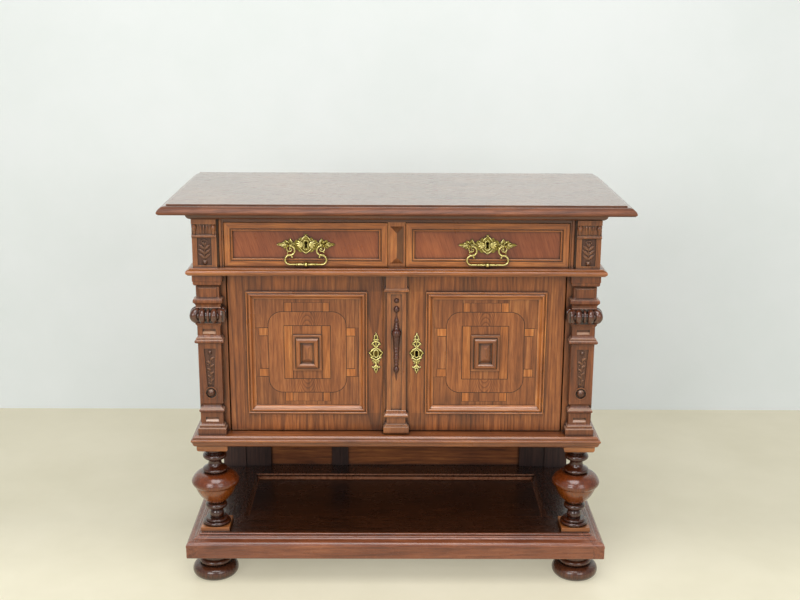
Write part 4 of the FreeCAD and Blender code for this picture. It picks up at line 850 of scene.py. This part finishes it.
def carve_frieze(side, name):
    """Leaves and a scroll in one frieze block's recess."""
    low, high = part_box(f"frieze_block_{name}")
    outer = low.x if side < 0 else high.x
    origin = (outer - side * BLOCK_IN, low.z + BLOCK_UP)
    ground, leaves = Relief(origin, BLOCK_FLOOR), Relief(origin, BLOCK_FLOOR)
    # A darker plate on the recess's floor, partly painted shade
    ground.plate(rectangle(-18.2, 18.2, -35.7, 35.7), 0.0, 0.2)
    for way in (1, -1):
        leaves.way = way
        for z in (-19, -7, 5):
            leaves.leaf(0.6, z, 42, 21.5, 9.4, 2.6, 0.1, 20)
        leaves.leaf(0.6, 15, 20, 12, 6, 2.0, 0.1, 30)
    leaves.rod([(0, -22), (0, -8), (0, 8), (0, 18)], [1.0, 1.4, 1.4, 1.0], 0.7)
    leaves.way = side
    leaves.rod([(-9, 24), (-4, 28.6), (2, 29.6), (7, 26.6), (6, 22.4), (2, 22), (1.4, 24.8)],
               [0.9, 1.5, 1.7, 1.6, 1.4, 1.2, 1.3], 0.8)
    show(f"frieze_ground_{name}", ground.work, CARVED["ground"], "carcass")
    show(f"frieze_leaves_{name}", leaves.work, CARVED["leaves"], "carcass", True)


# Section of the pale piece that paints a highlight on a slot's sill, as heights and depths in mm
SILL_PROFILE = ((-4.9, 0.1), (0.2, 5.2), (0.2, 5.0), (-5.2, -0.2))


def carve_pilaster(side, name):
    """A chain of leaves in one corner pilaster's tapered recess, and pale pieces on the sills of its slots
    that paint their highlights.
    """
    origin = (side * SHAFT_X, SHAFT_FOOT)
    ground, chain, sill_highlights = (Relief(origin, face) for face in (SHAFT_FLOOR, SHAFT_FLOOR, SLOT_FACE))
    # A darker plate on the recess's floor, partly painted shade
    ground.plate([(-7.7, 0), (7.7, 0), (15.4, 121.2), (-15.4, 121.2)], 0.0, 0.2)
    chain.rod([(0, 20), (1.6, 40), (-1.6, 62), (1.6, 84), (0, 100)], [0.8, 1.1, 1.1, 1.1, 0.8], 0.6)
    for index in range(8):
        chain.way = 1 if index % 2 else -1
        size = 1.0 + 0.07 * index
        chain.leaf(0.4, 22 + 9.6 * index, 30, 10.5 * size, 5.6 * size, 2.0, 0.1, 70)
        chain.ball(4.6 * size, 20 + 9.6 * index, 1.5 * size, 0.4)
    # Painted highlight: a pale piece laid on each slot's sill
    for top in SLOT_TOPS:
        low = (top - SHAFT_FOOT) / MM - 8.0
        rows = [[sill_highlights.point(x, low + z, -depth) for z, depth in SILL_PROFILE] for x in (-16.8, 16.8)]
        sill_highlights.skin(rows, True)
        for row in rows:
            sill_highlights.work.faces.new(row)
    show(f"pilaster_ground_{name}", ground.work, CARVED["ground"], "carcass")
    show(f"pilaster_leaves_{name}", chain.work, CARVED["leaves"], "carcass", True)
    show(f"pilaster_sills_{name}", sill_highlights.work, CARVED["sill_highlights"], "carcass")


# The button above the baluster in mm, and beads as shares of the baluster's length and radii in mm
BUTTON_ROOM = 20.5
STEM_BEADS = ((0.2, 3.6), (0.212, 4.8), (0.23, 6.0), (0.248, 4.8), (0.268, 6.3), (0.287, 4.9),
              (0.315, 7.4), (0.34, 5.2), (0.36, 6.8), (0.38, 5.5), (0.4, 7.4), (0.42, 6.2),
              (0.44, 8.0), (0.456, 7.0), (0.47, 6.6))
NECK_BEADS = ((0.69, 7.0), (0.703, 8.4), (0.72, 6.0), (0.737, 7.2), (0.752, 5.2), (0.767, 6.3), (0.78, 4.0))


def turn_beads():
    """Small turned beads on the stem and neck of the centre baluster."""
    low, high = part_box("centre_baluster")
    length = (high.z - low.z) / MM - BUTTON_ROOM
    beads = Relief(((low.x + high.x) / 2, low.z), high.y)
    for run in (STEM_BEADS, NECK_BEADS):
        places = [(0, share * length) for share, _ in run]
        beads.rod(places, [radius for _, radius in run], 0.0, sides=20)
    show("baluster_beads", beads.work, CARVED["spindle"], "right_door", True)


def add_camera():
    """The camera that was fitted to the photograph's edges."""
    pitch, yaw, roll = 0.25518, -0.00696, 0.00501
    ahead = Vector((-math.sin(yaw), math.cos(yaw), 0))
    across = Vector((math.cos(yaw), math.sin(yaw), 0))
    up = Vector((0, 0, 1))
    forward = ahead * math.cos(pitch) - up * math.sin(pitch)
    above = ahead * math.sin(pitch) + up * math.cos(pitch)
    right = across * math.cos(roll) + above * math.sin(roll)
    top = above * math.cos(roll) - across * math.sin(roll)
    camera = bpy.data.objects.new("camera", bpy.data.cameras.new("camera"))
    bpy.context.scene.collection.objects.link(camera)
    camera.data.sensor_width = 36.0
    camera.data.lens = 53.1
    pose = Matrix((right, top, -forward)).transposed().to_4x4()
    pose.translation = (-0.0117, -3.151, 1.561)
    camera.matrix_world = pose
    bpy.context.scene.camera = camera


def plain(name, colour, other, rough, near, far):
    """A pale surface with a faint mottle, clear from behind.

    It glows a little where the camera or a reflection sees it, by a near and a far strength along Y.
    """
    graph = Graph(name)
    place = graph.add("TexCoord").outputs["Object"]
    mottle = graph.noise(place, 2.2, 4.0, 0.6)
    tone = graph.steps(mottle, [(0.35, colour), (0.65, other)])
    graph.put(graph.shader.inputs["Base Color"], tone)
    graph.put(graph.shader.inputs["Emission Color"], tone)
    path = graph.add("LightPath").outputs
    seen = graph.math("MAXIMUM", path["Is Camera Ray"], path["Is Glossy Ray"])
    seen = graph.math("MAXIMUM", seen, path["Is Transmission Ray"])
    along = graph.math("MULTIPLY", graph.math("ADD", graph.parts(place)[1], 1.0), 0.5)
    glow = graph.steps(along, [(0.4, near), (0.58, far)])
    graph.put(graph.shader.inputs["Emission Strength"], graph.math("MULTIPLY", seen, glow))
    front = graph.math("SUBTRACT", 1.0, graph.add("NewGeometry").outputs["Backfacing"])
    graph.put(graph.shader.inputs["Alpha"], front)
    graph.shader.inputs["Roughness"].default_value = rough
    return graph.material


def add_stage():
    """Floor, wall, world and lamps."""
    half, wall_y, wall_top = 8, 1.16, 5

    def sheet(name, corners, material):
        mesh = bpy.data.meshes.new(name)
        mesh.from_pydata(corners, [], [tuple(range(len(corners)))])
        mesh.materials.append(material)
        piece = bpy.data.objects.new(name, mesh)
        bpy.context.scene.collection.objects.link(piece)

    sheet("floor", [(x, y, 0) for x, y in rectangle(-half, half, -half, half)],
          plain("floor_paint", srgb(184, 178, 156), srgb(190, 184, 163), 0.5, 0.8, 0.5))
    sheet("wall", [(x, wall_y, z) for x, z in rectangle(-half, half, 0, wall_top)],
          plain("wall_paint", srgb(228, 233, 230), srgb(232, 236, 234), 0.8, 0.16, 0.16))
    world = bpy.data.worlds.new("world")
    world.use_nodes = True
    sky = world.node_tree.nodes["Background"].inputs
    sky["Color"].default_value = (0.96, 0.98, 1.0, 1.0)
    sky["Strength"].default_value = 0.42
    bpy.context.scene.world = world

    def lamp(name, place, aim, size, power):
        data = bpy.data.lights.new(name, "AREA")
        data.size = size
        data.energy = power
        light = bpy.data.objects.new(name, data)
        bpy.context.scene.collection.objects.link(light)
        light.location = place
        light.rotation_euler = (Vector(aim) - Vector(place)).to_track_quat("-Z", "Y").to_euler()

    lamp("key", (-1.9, -3.9, 2.0), (0, 0, 0.6), 1.8, 54)
    lamp("fill", (1.9, -3.9, 2.0), (0, 0, 0.6), 1.8, 32)
    lamp("ceiling", (-0.1, -1.6, 3.3), (0, -0.3, 0.5), 2.1, 60)
    bpy.context.scene.view_settings.view_transform = "Standard"


BRASS = metal("old_brass", srgb(234, 223, 158), srgb(190, 174, 98), 0.16, srgb(62, 53, 18))
TARNISH = metal("tarnished_brass", srgb(182, 166, 88), srgb(138, 122, 56), 0.22, srgb(52, 44, 14))
# Dark brass for the painted shadow behind openwork
SHADED = metal("shaded_brass", srgb(126, 106, 50), srgb(88, 70, 32), 0.4, srgb(40, 31, 12))
# Near black for the painted shadow in keyholes
KEYHOLE_SHADOW = metal("painted_keyhole_shadow", srgb(16, 12, 9), srgb(9, 7, 5), 0.6, srgb(4, 3, 2))
CARVED = {
    # The recesses' ground and leaves are darker than the wood around them, partly as painted shade of the
    # recesses
    "ground": Wood("carved_ground", GROUND, "Z", 41.0, 0.0).finish(0.55, 0.05, 0.7, 0.0),
    "leaves": Wood("carved_leaves", CARVE, "Z", 42.0, 0.0).finish(0.3, 0.4, 1.0, 0.4),
    # Pale wood for the painted highlight on the slots' sills
    "sill_highlights": Wood("carved_sill_highlights", SILL_HIGHLIGHT, "X", 43.0, 0.1).finish(0.26, 0.8, 0.2, 0.0),
    "spindle": wood("baluster_wood", SPINDLE, "Z", 19.0, 0.1, gloss=0.2, coat=0.3, dirt=1.0),
}
dress_carcass()
dress_stand()
dress_drawers()
dress_doors()
dress_metal()
panel_centre = middle("door_panel_right")[0]
arches = ((panel_centre.x, panel_centre.z), 3.4 * MM)
veneers = {
    "ground": Wood("inlay_ground", INLAID, "Z", 31.0, 0.35, tiles=True, contrast=1.1),
    "blocks": Wood("inlay_blocks", YELLOW, "Z", 32.0, 0.3, tiles=True),
    "ring": Wood("inlay_ring", INLAID, "Z", 33.0, 0.5, tiles=True, contrast=1.1, arches=arches),
}
INLAY = {part: veneer.finish(0.32, 0.25, 0.5, 0.0) for part, veneer in veneers.items()}
for side, name in SIDES:
    lay_panel(side, name)
    cast_pull(name)
    cast_escutcheon(name)
    carve_frieze(side, name)
    carve_pilaster(side, name)
turn_beads()
add_camera()
add_stage()
